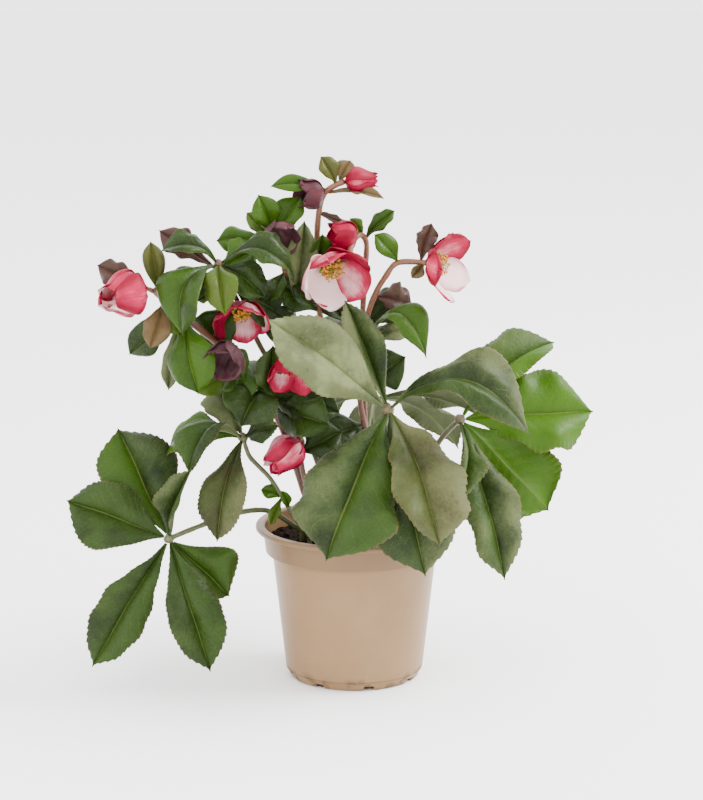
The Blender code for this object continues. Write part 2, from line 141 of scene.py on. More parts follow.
FRESH = Habit((0.05, 0.05), (0.8, 0.8), wave=0.06)
GREEN = Habit((0.2, 0.1), (0.35, 0.35), wave=0.07)
SHADE = Habit((0.1, 0.1), (0.0, 0.0), wave=0.06)
YELLOW = Habit((0.0, 0.0), (1.0, 1.0), brown=0.15, wave=0.06)
GREY = Habit((0.9, 0.9), (0.0, 0.0), wave=0.08)
OLIVE = Habit((0.2, 0.2), (0.5, 0.5), brown=0.35, wave=0.05)
RUSTY = Habit((0.2, 0.2), (0.0, 0.0), brown=0.85, wave=0.08)
PURPLE = Habit((0.1, 0.1), (0.0, 0.0), brown=0.4, purple=0.8, wave=0.13, waves=3.0, frill=0.07)

SPRIGS = {
    "tall_bract_left": Sprig("tall_stem", 0.95, (-41, -6, 3), 15, 8, 16, (0.0, -0.8, 1.0), FRESH),
    "tall_bract_right": Sprig("tall_stem", 0.95, (41, -12, -3), 9, 7, 26, (0.1, -0.6, 1.0), RUSTY),
    "tall_bract_hood": Sprig("tall_stem", 0.98, (-11, -3, 20), 15, 3, 24, (0.5, -1.0, 0.2), OLIVE),
    "tall_bract_back": Sprig("tall_stem", 0.99, (8, 4, 15), 13, 4, 24, (-0.3, -1.0, 0.2), RUSTY),
    "tall_bract_low": Sprig("tall_stem", 0.65, (19, -22, -13), 20, 6, 16, (0.2, -0.6, 1.0), SHADE),
    "tall_bract_front": Sprig("tall_stem", 0.75, (4, -21, 25), 17, 4, 22, (0.2, -1.0, 0.2), GREEN),
    "centre_bract_right": Sprig("centre_stem", 0.88, (21, -2, 20), 14, 5, 24, (-0.5, -1.0, 0.4), GREEN),
    "centre_bract_tip": Sprig("centre_stem", 0.89, (-9, 0, 12), 10, 3, 20, (0.0, -1.0, 0.5), YELLOW),
    "centre_bract_thin": Sprig("centre_stem", 0.89, (-32, 2, 17), 6, 4, 20, (0.2, -1.0, 0.8), PURPLE),
    "right_bract_green": Sprig("right_stem", 0.91, (-17, -6, 21), 17, 7, 16, (0.5, -1.0, 0.4), FRESH),
    "right_bract_brown": Sprig("right_stem", 0.98, (8, 5, 27), 15, 4, 20, (-0.2, -1.0, 0.2), PURPLE),
    "right_bract_small": Sprig("right_stem", 0.99, (-9, -6, -9), 9, 3, 20, (0.2, -1.0, 0.2), RUSTY),
    "right_bract_rear": Sprig("right_stem", 0.78, (27, 10, -8), 25, 5, 12, (0.1, -1.0, 0.5), PURPLE),
    "right_bract_pale": Sprig("right_stem", 0.64, (35, 12, 6), 15, 5, 12, (0.0, -1.0, 0.6), GREY),
    "crown_bract_left": Sprig("upper_left_stem", 0.985, (-11, -6, 31), 21, 4, 18, (0.3, -1.0, 0.3), FRESH),
    "crown_bract_right": Sprig("upper_left_stem", 0.98, (19, 6, 28), 21, 4, 18, (-0.2, -1.0, 0.4), FRESH),
    "crown_bract_rear": Sprig("upper_left_stem", 0.97, (-20, 8, 19), 13, 4, 18, (0.1, -1.0, 0.4), YELLOW),
    "crown_bract_round": Sprig("upper_left_stem", 0.96, (-43, -2, 2), 21, 8, 14, (0.0, -1.0, 0.8), FRESH, 0.7),
    "crown_bract_inner": Sprig("upper_left_stem", 0.86, (-12, -19, -19), 15, 5, 16, (0.0, -1.0, 0.6), GREEN),
    "crown_bract_low": Sprig("upper_left_stem", 0.83, (24, -17, -14), 22, 7, 14, (0.2, -0.7, 1.0), SHADE),
    "left_bract_olive": Sprig("left_stem", 0.99, (-5, 2, 36), 17, 4, 18, (0.2, -1.0, 0.1), OLIVE),
    "left_bract_brown": Sprig("left_stem", 0.985, (-44, 10, 20), 18, 8, 14, (0.2, -1.0, 0.3), PURPLE, 0.72),
    "left_bract_tan": Sprig("left_stem", 0.95, (-10, -13, -32), 19, 4, 18, (0.1, -1.0, 0.3), RUSTY),
    "left_bract_dark": Sprig("left_stem", 0.90, (-36, 13, -34), 23, 6, 14, (-0.1, -1.0, 0.5), SHADE),
    "left_bract_grey": Sprig("left_stem", 0.88, (-11, 17, -59), 15, 8, 18, (-0.1, -1.0, 0.3), GREY),
    "left_bract_yellow": Sprig("left_stem", 0.63, (-33, -2, -18), 19, 5, 16, (0.0, -1.0, 0.5), YELLOW),
    "whorl_bract_rust": Sprig("middle_stem", 0.955, (-46, 8, 30), 20, 6, 14, (0.1, -1.0, 0.3), PURPLE, 0.72),
    "whorl_bract_low": Sprig("middle_stem", 0.92, (-25, 5, -12), 17, 6, 14, (0.0, -1.0, 0.6), YELLOW),
    "heart_leaf_front": Sprig("left_stem", 0.50, (54, -10, -10), 36, 12, 12, (0.1, -1.0, 0.6), SHADE),
    "heart_leaf_gap": Sprig("centre_stem", 0.33, (-38, -18, -10), 38, 8, 12, (0.0, -1.0, 0.4), SHADE),
    "whorl_leaf_left": Sprig("middle_stem", 0.93, (-42, 10, -14), 30, 8, 12, (0.0, -1.0, 0.6), GREEN),
    "whorl_leaf_right": Sprig("middle_stem", 0.90, (36, 12, -24), 34, 8, 12, (0.1, -1.0, 0.5), SHADE),
    "whorl_leaf_rear": Sprig("middle_stem", 0.97, (24, 14, 10), 26, 6, 12, (0.0, -1.0, 0.5), FRESH),
    "whorl_leaf_down": Sprig("middle_stem", 0.84, (-24, 6, -34), 30, 6, 12, (-0.1, -1.0, 0.4), GREEN),
    "left_leaf_rear": Sprig("left_stem", 0.92, (20, 12, 20), 26, 6, 12, (0.0, -1.0, 0.4), SHADE),
    "left_leaf_fill": Sprig("left_stem", 0.95, (9, -6, 20), 20, 4, 14, (0.0, -1.0, 0.4), GREEN),
    "left_leaf_yellow": Sprig("left_stem", 0.93, (8, -8, -20), 17, 4, 14, (0.0, -1.0, 0.5), YELLOW),
    "heart_leaf_stem": Sprig("centre_stem", 0.30, (8, -16, -34), 28, 6, 12, (0.1, -1.0, 0.3), SHADE),
    "rear_leaf_tall": Sprig("tall_stem", 0.52, (12, 36, 14), 30, 10, 14, (0.1, 0.6, 1.0), SHADE),
    "rear_leaf_left": Sprig("left_stem", 0.55, (-12, 34, 10), 28, 10, 14, (-0.1, 0.6, 1.0), GREEN),
    "rear_leaf_right": Sprig("right_stem", 0.60, (14, 32, 12), 27, 10, 14, (0.1, 0.6, 1.0), SHADE),
    "rear_leaf_crown": Sprig("upper_left_stem", 0.72, (-10, 34, 10), 27, 10, 14, (0.0, 0.6, 1.0), GREEN),
    "left_leaf_cover": Sprig("left_stem", 0.74, (20, -12, -24), 26, 6, 12, (0.0, -1.0, 0.4), GREEN),
    "heart_leaf_left": Sprig("middle_stem", 0.50, (-22, -14, 20), 26, 8, 14, (-0.2, -1.0, 0.5), GREEN),
    "heart_leaf_right": Sprig("centre_stem", 0.45, (30, -14, 24), 28, 8, 14, (0.2, -1.0, 0.5), SHADE),
    "heart_leaf_low": Sprig("low_stem", 0.45, (30, 6, 14), 32, 6, 14, (0.1, -1.0, 0.4), SHADE),
    "heart_leaf_mid": Sprig("upper_left_stem", 0.50, (28, -10, 22), 30, 8, 14, (0.1, -1.0, 0.5), SHADE),
    "heart_leaf_high": Sprig("upper_left_stem", 0.66, (-24, -14, 20), 26, 8, 14, (-0.1, -1.0, 0.5), SHADE),
    "heart_leaf_top": Sprig("tall_stem", 0.62, (-30, -14, 24), 26, 8, 14, (0.0, -1.0, 0.5), GREEN),
    "heart_leaf_rear": Sprig("tall_stem", 0.45, (-34, 8, 26), 34, 10, 14, (0.0, -1.0, 0.6), SHADE),
    "heart_leaf_back": Sprig("centre_stem", 0.62, (34, 16, 20), 30, 10, 14, (0.0, -1.0, 0.6), SHADE),
    "heart_leaf_under": Sprig("left_stem", 0.66, (10, -14, -28), 26, 6, 14, (0.0, -1.0, 0.4), GREEN),
    "young_shoot_left": Sprig("inner_left_leaf_stalk", 0.44, (-14, -4, 6), 11, 3, 20, (0.2, -1.0, 0.6), FRESH),
    "young_shoot_tall": Sprig("inner_left_leaf_stalk", 0.42, (-8, -5, -19), 8, 2, 26, (-0.2, -1.0, 0.2), YELLOW),
    "young_shoot_right": Sprig("inner_left_leaf_stalk", 0.34, (-5, -7, 14), 7, 3, 26, (0.3, -1.0, 0.2), FRESH),
}


class Bloom(NamedTuple):
    """The look of one flower: colour depth, width of its sepals as a share of their length, how much of its heart
    shows, how faded and how closed it is, how blunt its sepals are and its size against its curve. It may face along
    an axis of its own, spin about it by degrees, and stand off its seat by a shift in mm. Sepals that point along
    pale are paler, those opposite are deeper."""

    depth: float = 0.5
    breadth: float = 0.44
    heart: float = 1.0
    faded: float = 0.0
    closed: float = 0.0
    blunt: float = 5.0
    size: float = 1.0
    axis: tuple = ()
    spin: float = 0.0
    shift: tuple = (0, 0, 0)
    pale: tuple = (0, 0, 0)


BLOOMS = {
    "top_flower": Bloom(0.85, 0.54, 0.0, closed=0.68, blunt=4.0, size=1.35),
    "centre_flower": Bloom(
        0.50, 0.47, closed=0.10, axis=(0.30, -0.82, -0.48), shift=(-16, 2, 1), pale=(-0.6, 0.0, -0.5)),
    "right_flower": Bloom(0.62, 0.40, 0.6, size=0.88, axis=(0.88, -0.46, 0.02), spin=18, pale=(0.1, 0.0, -0.5)),
    "left_flower": Bloom(
        0.40, 0.62, 0.0, closed=0.66, size=1.15, axis=(-0.60, -0.79, -0.05), spin=-16, shift=(-9, -3, 1),
        pale=(-0.5, -0.3, -0.5)),
    "middle_flower": Bloom(
        0.80, 0.60, closed=0.22, size=1.05, axis=(0.05, -0.75, -0.66), spin=36, shift=(-3, -2, 10),
        pale=(0.3, 0.0, 0.2)),
    # The low flower's deep colour is partly painted shade, as it hangs in the shade of the leaves.
    "low_flower": Bloom(0.85, 0.50, 0.5, closed=0.2, axis=(-0.1, -0.6, -0.8), shift=(-14, -12, -6)),
    "low_bud": Bloom(
        0.60, 0.50, 0.0, closed=0.5, blunt=2.8, size=1.12, axis=(-0.7, -0.35, -0.62), shift=(1, -3, 15),
        pale=(-0.3, -0.2, -0.1)),
    "faded_flower": Bloom(0.6, 0.62, 0.0, 1.0, closed=0.15, axis=(-0.35, -0.75, -0.55), shift=(12, -20, 5)),
}


class Cup(NamedTuple):
    """A small flower with no CAD node of its own: its stem and the share along it, its axis, the length of its sepals
    in mm, and the lean of their tips away from the axis in degrees."""

    stem: str
    share: float
    axis: tuple
    length: float
    lean: float
    bloom: Bloom


CUPS = {
    "rear_bud": Cup("centre_stem", 0.90, (-0.95, -0.25, 0.02), 29, 2, Bloom(1.0, 0.46, 0.0, closed=0.4)),
    "spent_tall_flower": Cup("tall_stem", 0.945, (-0.9, -0.35, -0.05), 27, 4, Bloom(0.6, 0.50, 0.0, 0.9, closed=0.3)),
    "spent_crown_flower": Cup(
        "upper_left_stem", 0.98, (0.25, -0.75, -0.6), 25, 8, Bloom(0.8, 0.44, 0.0, 1.0, shift=(2, -10, 11))),
}


# Sizes and colours --------------------------------------------------------------------------------


def colour(name, red, green, blue):
    """A display colour that a user may change, given from 0 to 255."""
    return FloatVectorProperty(
        name=name, description=f"{name} as it shows on a display", subtype="COLOR_GAMMA",
        size=3, min=0.0, max=1.0, default=(red / 255, green / 255, blue / 255))


class PotSettings(bpy.types.PropertyGroup):
    wall: FloatProperty(name="Wall", description="Thickness of the plastic", default=0.0015, unit="LENGTH")
    base: FloatProperty(name="Base", description="Diameter of the underside", default=0.100, unit="LENGTH")
    band: FloatProperty(name="Band", description="Height of the collar with its lip", default=0.0205, unit="LENGTH")
    slots: IntProperty(name="Drain slots", description="Notches round the lower corner", default=8, min=1)
    slot_width: FloatProperty(name="Slot width", description="Width of a notch", default=0.008, unit="LENGTH")
    first_slot: FloatProperty(
        name="First slot", description="Where the first notch sits", default=math.radians(-122), subtype="ANGLE")
    plastic: colour("Plastic", 126, 98, 68)
    dust: colour("Dust", 139, 116, 86)
    stain: colour("Stain", 67, 48, 27)


class SoilSettings(bpy.types.PropertyGroup):
    relief: FloatProperty(name="Relief", description="Height of the lumps", default=0.0022, unit="LENGTH")
    crumbs: IntProperty(name="Crumbs", description="Loose lumps of peat", default=420, min=0)
    peat: colour("Peat", 29, 17, 9)
    fibre: colour("Fibre", 67, 47, 30)


class LeafSettings(bpy.types.PropertyGroup):
    teeth: IntProperty(name="Teeth", description="Teeth along each margin of a leaflet", default=24, min=1)
    tooth: FloatProperty(name="Tooth", description="Depth of a tooth", default=0.0011, unit="LENGTH")
    veins: IntProperty(name="Side veins", description="Side veins along each half", default=10, min=1)
    thickness: FloatProperty(name="Thickness", description="Thickness of a blade", default=0.0005, unit="LENGTH")
    deep: colour("Deep green", 32, 48, 12)
    # Fresh green, which the light share also paints as the glow of backlit leaflets.
    fresh_and_backlit_green: colour("Fresh green", 53, 86, 0)
    # Waxy bloom, also painted on as sheen where the leaves shine.
    wax_and_sheen: colour("Waxy bloom", 85, 91, 58)
    vein: colour("Veins", 83, 96, 42)
    under: colour("Underside", 78, 86, 53)
    tan: colour("Tan", 104, 80, 52)
    purple: colour("Purple", 67, 35, 40)


class StalkSettings(bpy.types.PropertyGroup):
    sides: IntProperty(name="Sides", description="Faces round a stalk", default=16, min=6)
    green: colour("Green stalk", 68, 73, 35)
    red: colour("Red stem", 88, 53, 37)
    joint: colour("Joint", 62, 29, 21)


class FlowerSettings(bpy.types.PropertyGroup):
    thickness: FloatProperty(
        name="Sepal thickness", description="Thickness of a sepal", default=0.0005, unit="LENGTH")
    stamens: IntProperty(name="Stamens", description="Stamens in an open flower", default=64, min=0)
    crimson: colour("Crimson", 139, 0, 40)
    pink: colour("Pink", 195, 32, 78)
    pale: colour("Pale", 252, 228, 228)
    faded: colour("Faded", 73, 42, 47)
    pollen: colour("Pollen", 154, 95, 5)
    nectar: colour("Nectar", 96, 104, 19)


class StageSettings(bpy.types.PropertyGroup):
    floor: colour("Floor", 250, 250, 250)
    key: FloatProperty(name="Key light", description="Power of the main lamp", default=118.0, unit="POWER")
    fill: FloatProperty(name="Fill light", description="Power of the side lamp", default=16.0, unit="POWER")
    sky: FloatProperty(name="Sky", description="Strength of the white surroundings", default=3.35, min=0.0)
    lens: FloatProperty(name="Lens", description="Focal length for a 36 mm sensor", default=136.0, min=10.0)
    pitch: FloatProperty(
        name="Camera tilt", description="How far the camera looks down", default=math.radians(12.1), subtype="ANGLE")


# Surfaces -----------------------------------------------------------------------------------------


def unit(vectors):
    """Vectors divided by their length."""
    return vectors / np.maximum(np.linalg.norm(vectors, axis=-1, keepdims=True), 1e-12)


def smooth(points, t):
    """Catmull-Rom curve: a cubic between neighbours whose slope at a point is half the step across it."""
    points = np.asarray(points, float)
    ends = np.concatenate([2 * points[:1] - points[1:2], points, 2 * points[-1:] - points[-2:-1]])
    place = np.clip(t, 0, 1) * (len(points) - 1)
    i = np.minimum(place.astype(int), len(points) - 2)
    f = (place - i).reshape((-1,) + (1,) * (points.ndim - 1))
    a, b, c, d = ends[i], ends[i + 1], ends[i + 2], ends[i + 3]
    return 0.5 * (2 * b + (c - a) * f + (2 * a - 5 * b + 4 * c - d) * f**2 + (3 * b - a - 3 * c + d) * f**3)


def spread(*values):
    """Values of a grid stacked along a new last axis, each first stretched over the whole grid."""
    return np.stack(np.broadcast_arrays(*values), axis=-1)


def eased(share):
    """A share from 0 to 1 that starts and ends gently: three times its square minus twice its cube."""
    return share * share * (3 - 2 * share)


def spoke(turn, first, second):
    """The direction at an angle round an axis: cos times the first plus sin times the second direction."""
    return math.cos(turn) * first + math.sin(turn) * second


def star(first, second):
    """Five directions round an axis, a fifth of a turn apart, from the first towards the second."""
    turn = np.arange(SEPALS) * 2 * math.pi / SEPALS
    return np.cos(turn)[:, None] * first + np.sin(turn)[:, None] * second


def normals(grid):
    """Unit normals of a grid: its slope across the columns crossed with its slope along the rows."""
    return unit(np.cross(np.gradient(grid, axis=1), np.gradient(grid, axis=0)))


def ripple(seed, *coordinates):
    """A smooth hilly value, mostly between -1 and 1: five sines with seeded turns and phases, added up, over 2.5."""
    dice = np.random.default_rng(seed)
    total = 0.0
    for _ in range(5):
        turns = dice.normal(size=len(coordinates))
        total = total + np.sin(sum(k * c for k, c in zip(turns, coordinates)) * 2 + dice.uniform(0, 6.3))
    return total / 2.5


class Shape:
    """The patches of one mesh. A patch is a grid of points, or a grid and its underside with closed rims."""

    def __init__(self):
        self.points, self.faces, self.kinds, self.places, self.paints = [], [], [], [], []
        self.count = 0

    def add(self, upper, lower=None, keep=None, kinds=(0, 0, 0), place=None, paint=(0, 0, 0, 0)):
        """Adds a grid. Across crossed with along points outwards, and equal points become one.

        With a lower grid, the sides of faces that no other face shares get a rim between the two. Keep says which
        faces are there, and kinds are the materials of the upper side, the lower side and the rim.
        """
        rows, columns = upper.shape[:2]
        flat = upper.reshape(-1, 3)
        if lower is not None:
            flat = np.concatenate([flat, lower.reshape(-1, 3)])
        _, first, where = np.unique(np.round(flat, 8), axis=0, return_index=True, return_inverse=True)
        where = where.ravel()
        number = np.arange(rows * columns).reshape(rows, columns)
        quads = np.stack([number[:-1, :-1], number[:-1, 1:], number[1:, 1:], number[1:, :-1]], axis=-1)
        quads = quads[keep] if keep is not None else quads.reshape(-1, 4)
        sets = [quads]
        if lower is not None:
            below = rows * columns
            joined = where[quads]
            starts, ends = joined.ravel(), np.roll(joined, -1, axis=1).ravel()
            span = len(flat)
            free = ~np.isin(starts * span + ends, ends * span + starts) & (starts != ends)
            a, b = quads.ravel()[free], np.roll(quads, -1, axis=1).ravel()[free]
            sets += [quads[:, ::-1] + below, np.stack([b, a, a + below, b + below], axis=-1)]
        spots = np.zeros((rows, columns, 2)) if place is None else place
        colours = np.broadcast_to(np.asarray(paint, float), (rows, columns, 4))
        spots, colours = spots.reshape(-1, 2), colours.reshape(-1, 4)
        if lower is not None:
            spots, colours = np.tile(spots, (2, 1)), np.tile(colours, (2, 1))
        for quad_set, kind in zip(sets, kinds):
            self.faces.append(where[quad_set] + self.count)
            self.places.append(spots[quad_set])
            self.kinds.append(np.full(len(quad_set), kind))
        self.points.append(flat[first])
        self.paints.append(colours[first])
        self.count += len(first)

    def finish(self, name, materials, slot, *nodes):
        """Makes the mesh without sides of no length, and lets the piece ride and replace its nodes; its slot is not
        used.
        """
        points, paints = np.concatenate(self.points), np.concatenate(self.paints)
        faces, places = np.concatenate(self.faces), np.concatenate(self.places)
        kinds = np.concatenate(self.kinds)
        real = faces != np.roll(faces, -1, axis=1)
        full = real.sum(axis=1) >= 3
        faces, places, kinds, real = faces[full], places[full], kinds[full], real[full]
        totals = real.sum(axis=1)
        mesh = bpy.data.meshes.new(name)
        mesh.vertices.add(len(points))
        mesh.vertices.foreach_set("co", points.ravel())
        mesh.loops.add(int(totals.sum()))
        mesh.loops.foreach_set("vertex_index", faces[real].astype(np.int32))
        mesh.polygons.add(len(faces))
        mesh.polygons.foreach_set("loop_start", np.concatenate([[0], np.cumsum(totals)[:-1]]).astype(np.int32))
        mesh.polygons.foreach_set("material_index", kinds.astype(np.int32))
        mesh.update(calc_edges=True)
        mesh.polygons.foreach_set("use_smooth", np.ones(len(faces), bool))
        mesh.uv_layers.new(name="place").data.foreach_set("uv", places[real].ravel().astype(np.float32))
        paint = mesh.attributes.new("paint", "FLOAT_COLOR", "POINT")
        paint.data.foreach_set("color", paints.ravel().astype(np.float32))
        if mesh.validate():
            raise RuntimeError(f"{name} had faces that had to be mended")
        for material in materials:
            mesh.materials.append(material)
        piece = bpy.data.objects.new(name, mesh)
        bpy.context.scene.collection.objects.link(piece)
        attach(piece, "root")
        if nodes:
            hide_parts(*nodes)
        return piece


def tube(path, radii, sides):
    """A round skin: each point of the path plus its radius times cos and sin along two directions square to it.

    The first direction is square to the path and to the direction in which the whole path spreads least.
    """
    heading = unit(np.gradient(path, axis=0))
    flattest = np.linalg.svd(path - path.mean(axis=0), full_matrices=False)[2][-1]
    first = unit(np.cross(np.broadcast_to(flattest, heading.shape), heading))
    second = np.cross(heading, first)
    angle = np.linspace(0, 2 * math.pi, sides + 1)
    grid = path[:, None] + np.asarray(radii)[:, None, None] * (
        np.cos(angle)[None, :, None] * first[:, None] + np.sin(angle)[None, :, None] * second[:, None])
    grid[:, -1] = grid[:, 0]
    return grid, spread(angle / (2 * math.pi), np.linspace(0, 1, len(path))[:, None])


def capped(path, radii):
    """The path and radii with both ends rounded: two more steps, to 0.7 of the radius and then to nothing."""
    first, last = unit(path[0] - path[1]) * radii[0], unit(path[-1] - path[-2]) * radii[-1]
    before = [path[0] + first * 0.5, path[0] + first * 0.35]
    after = [path[-1] + last * 0.35, path[-1] + last * 0.5]
    radii = np.concatenate([[0, radii[0] * 0.7], radii, [radii[-1] * 0.7, 0]])
    return np.concatenate([before, path, after]), radii


def add_rod(shape, path, radii, sides, kind=0):
    """Adds a tube with rounded ends, all in one material."""
    grid, place = tube(*capped(path, radii), sides)
    shape.add(grid, kinds=(kind,), place=place)


# What the CAD nodes say ---------------------------------------------------------------------------


# How the nodes are laid out: the foot of each stalk lies this near to the pot's axis, and these are the points of a
# stalk's ring, the rows of a blade with their points, and the rings of a cup.
FOOT_REACH = 0.066
STALK_RING = 8
BLADE_ROWS, ROW_POINTS = 8, 6
CUP_RINGS = 4


def welded(name):
    """A node's points with doubles made one, and its edges in both directions as rows of two point numbers."""
    mesh = frame["nodes"][name].data
    co, corner = np.empty(len(mesh.vertices) * 3), np.empty(len(mesh.loops), int)
    mesh.vertices.foreach_get("co", co)
    mesh.loops.foreach_get("vertex_index", corner)
    points, where = np.unique(np.round(co.reshape(-1, 3), 6), axis=0, return_inverse=True)
    faces = where.ravel()[corner].reshape(-1, 3)
    back = faces[:, ::-1]
    return points, np.concatenate([faces, np.roll(faces, -1, axis=1), back, np.roll(back, -1, axis=1)])[:, :2]


def layers(points, edges, start, size):
    """Sorts a mesh into rings: the start points, then all points one edge away, and so on."""
    step = np.full(len(points), -1)
    step[start] = 0
    for number in range(len(points)):
        near = edges[step[edges[:, 0]] == number][:, 1]
        near = near[step[near] < 0]
        if not len(near):
            break
        step[near] = number + 1
    rings = [points[step == number] for number in range(step.max() + 1)]
    if any(len(ring) != size for ring in rings):
        raise RuntimeError("a node isn't laid out in rings of equal size")
    return np.array(rings)


def stalk_line(name):
    """A stalk's centreline and radii, from its lowest ring in the pot up: the means of its rings of eight points."""
    points, edges = welded(name)
    potted = points[np.hypot(points[:, 0], points[:, 1]) < FOOT_REACH]
    lowest = potted[np.argmin(potted[:, 2])]
    start = np.argsort(np.linalg.norm(points - lowest, axis=1))[:STALK_RING]
    rings = layers(points, edges, start, STALK_RING)
    centres = rings.mean(axis=1)
    return centres, np.linalg.norm(rings - centres[:, None], axis=2).mean(axis=1)


def along(path, share):
    """The point at a share of a path's length, and the path's direction there."""
    steps = np.linalg.norm(np.diff(path, axis=0), axis=1)
    reach = np.concatenate([[0], np.cumsum(steps)]) / steps.sum()

    def at(here):
        return np.array([np.interp(here, reach, path[:, axis]) for axis in range(3)])

    return at(share), unit(at(min(1, share + 0.02)) - at(share - 0.02))


LINES = {name: stalk_line(name) for name in frame["nodes"] if name.endswith(("_stalk", "_stem"))}
# Stems of the bracts. A leaflet's carrier is the stalk of its own leaf.
CARRIERS = {"upper_bract": "middle_stem", "inner_bract": "left_stem", "left_bract": "left_stem",
            "right_bract": "right_stem", "upright_bract": "upper_left_stem"}


def on_stem(stem, share):
    """The point on a stem's centreline at a share of its length, the direction there, and the radius near its foot."""
    path, radii = LINES[stem]
    return *along(smooth(path, np.linspace(0, 1, 200)), share), radii[2]


def blade_lines(name):
    """A blade's midrib and its left and right offsets at eight rows, from its foot on its stalk to its tip.

    The rows of a blade are equal steps along the straight line from foot to tip, so its points sorted along that
    line fall into rows of six: three spots across, each on the upper side and on the underside. A blade with a
    straight midrib has no points on it between its ends, so those are put back on the line.
    """
    points, _ = welded(name)
    stem = name.rstrip("_0123456789")
    carrier = CARRIERS.get(stem) or stem.replace("leaflet", "leaf_stalk")
    line = smooth(LINES[carrier][0], np.linspace(0, 1, 150))
    line = line[-1:] if stem not in CARRIERS or stem == "upper_bract" else line
    nearest = points[np.argmin(np.linalg.norm(points[:, None] - line, axis=2).min(axis=1))]
    foot = points[np.argsort(np.linalg.norm(points - nearest, axis=1))[:ROW_POINTS]].mean(axis=0)
    tip = points[np.argmax(np.linalg.norm(points - foot, axis=1))]
    points = points[np.argsort((points - foot) @ (tip - foot))]
    between = BLADE_ROWS - 2
    if len(points) == 2 * ROW_POINTS + between * (ROW_POINTS - 2):
        spine = foot + (tip - foot) * np.arange(1, BLADE_ROWS - 1)[:, None, None] / (BLADE_ROWS - 1)
        sides = points[ROW_POINTS:-ROW_POINTS].reshape(between, ROW_POINTS - 2, 3)
        body = np.concatenate([sides, spine, spine], axis=1).reshape(-1, 3)
        points = np.concatenate([points[:ROW_POINTS], body, points[-ROW_POINTS:]])
    rows = points.reshape(BLADE_ROWS, ROW_POINTS, 3)
    apart = np.linalg.norm(rows[:, :, None] - rows[:, None], axis=3).reshape(len(rows), -1)
    pair = np.argmax(apart, axis=1)
    number = np.arange(len(rows))
    across = unit(rows[number, pair % ROW_POINTS] - rows[number, pair // ROW_POINTS])
    signs = np.sign(np.sum(across[1:] * across[:-1], axis=1))
    across[1:] *= np.cumprod(signs)[:, None]
    across[0], across[-1] = across[1], across[-2]
    order = np.argsort(np.einsum("rpk,rk->rp", rows, across), axis=1)
    sides = np.take_along_axis(rows, order[..., None], axis=1).reshape(len(rows), 3, 2, 3).mean(axis=2)
    low, middle, high = sides[:, 0], sides[:, 1], sides[:, 2]
    middle[0], middle[-1] = rows[0].mean(axis=0), rows[-1].mean(axis=0)
    low, high = low - middle, high - middle
    swap = np.linalg.norm(low[1:-1], axis=1).sum() < np.linalg.norm(high[1:-1], axis=1).sum()
    return middle, *((high, low) if swap else (low, high))


def cup_lines(name):
    """A flower's seat, axis, the directions of its five sepals and their curve as distances out and forward.

    The seat is the outer of the two poles, the axis runs from it through the mean of all points, and the sepals
    point every 72 degrees from the farthest point. The curve is the row of points in the plane of that one.
    """
    points, edges = welded(name)
    poles = points[np.argsort(np.bincount(edges[:, 0], minlength=len(points)))[-2:]]
    centre = points.mean(axis=0)
    seat = poles[np.argmax(np.linalg.norm(poles - centre, axis=1))]
    axis = unit(centre - seat)
    local = points - seat
    forward = local @ axis
    flat = local - forward[:, None] * axis
    out = np.linalg.norm(flat, axis=1)
    first = unit(flat[np.argmax(np.linalg.norm(local, axis=1))])
    row = np.flatnonzero((flat @ first > 0.999 * out) & (out > 0.0005))
    row = row[np.argsort(np.linalg.norm(local[row], axis=1))]
    if len(row) != 2 * CUP_RINGS:
        raise RuntimeError(f"{name} isn't laid out as a cup with four rings")
    curve = np.stack([out[row], forward[row]], axis=1).reshape(CUP_RINGS, 2, 2).mean(axis=1)
    return seat, axis, star(first, np.cross(axis, first)), np.concatenate([[[0, 0]], curve])


# Blades -------------------------------------------------------------------------------------------

# Places across a half blade, from midrib to margin, and how a blade's relief is laid out.
ACROSS = np.array([0, 0.025, 0.06, 0.12, 0.21, 0.32, 0.44, 0.56, 0.68, 0.79, 0.88, 0.95, 1.0])
VEIN_SLANT = 0.26
VEIN_FOLDS = 10
STEPS_PER_TOOTH = 6
LOBES = 4.5
DROOP, SWAY = 0.14, 0.03
FOOT_WIDTH = 1.6 * MM
GROOVE_DEPTH, CHANNEL_DEPTH, CHANNEL_WIDTH = 0.5 * MM, 0.4 * MM, 0.9 * MM
KEEL_DEPTH, KEEL_WIDTH = 1.1 * MM, 1.0 * MM


def drawn_lines(seat, reach, width, arch, fold, face, widest):
    """A blade's midrib and halves by formula: a parabola from seat to tip that rises by arch halfway, with a sine
    swell to each side that folds up by the fold angle."""
    t = np.linspace(0, 1, BLADE_ROWS)[:, None]
    chord = unit(reach)
    face = np.array(face, float)
    lift = unit(face - chord * (face @ chord))
    control = seat + reach / 2 + lift * arch
    middle = (1 - t) ** 2 * seat + 2 * t * (1 - t) * control + t**2 * (seat + reach)
    heading = unit(2 * (1 - t) * (control - seat) + 2 * t * (seat + reach - control))
    side = unit(np.cross(heading, face))
    normal = np.cross(side, heading)
    half = (FOOT_WIDTH + width * np.sin(math.pi * t ** (math.log(0.5) / math.log(widest)))) / 2
    rise, run = normal * math.sin(math.radians(fold)), side * math.cos(math.radians(fold))
    return middle, half * (rise - run), half * (rise + run)


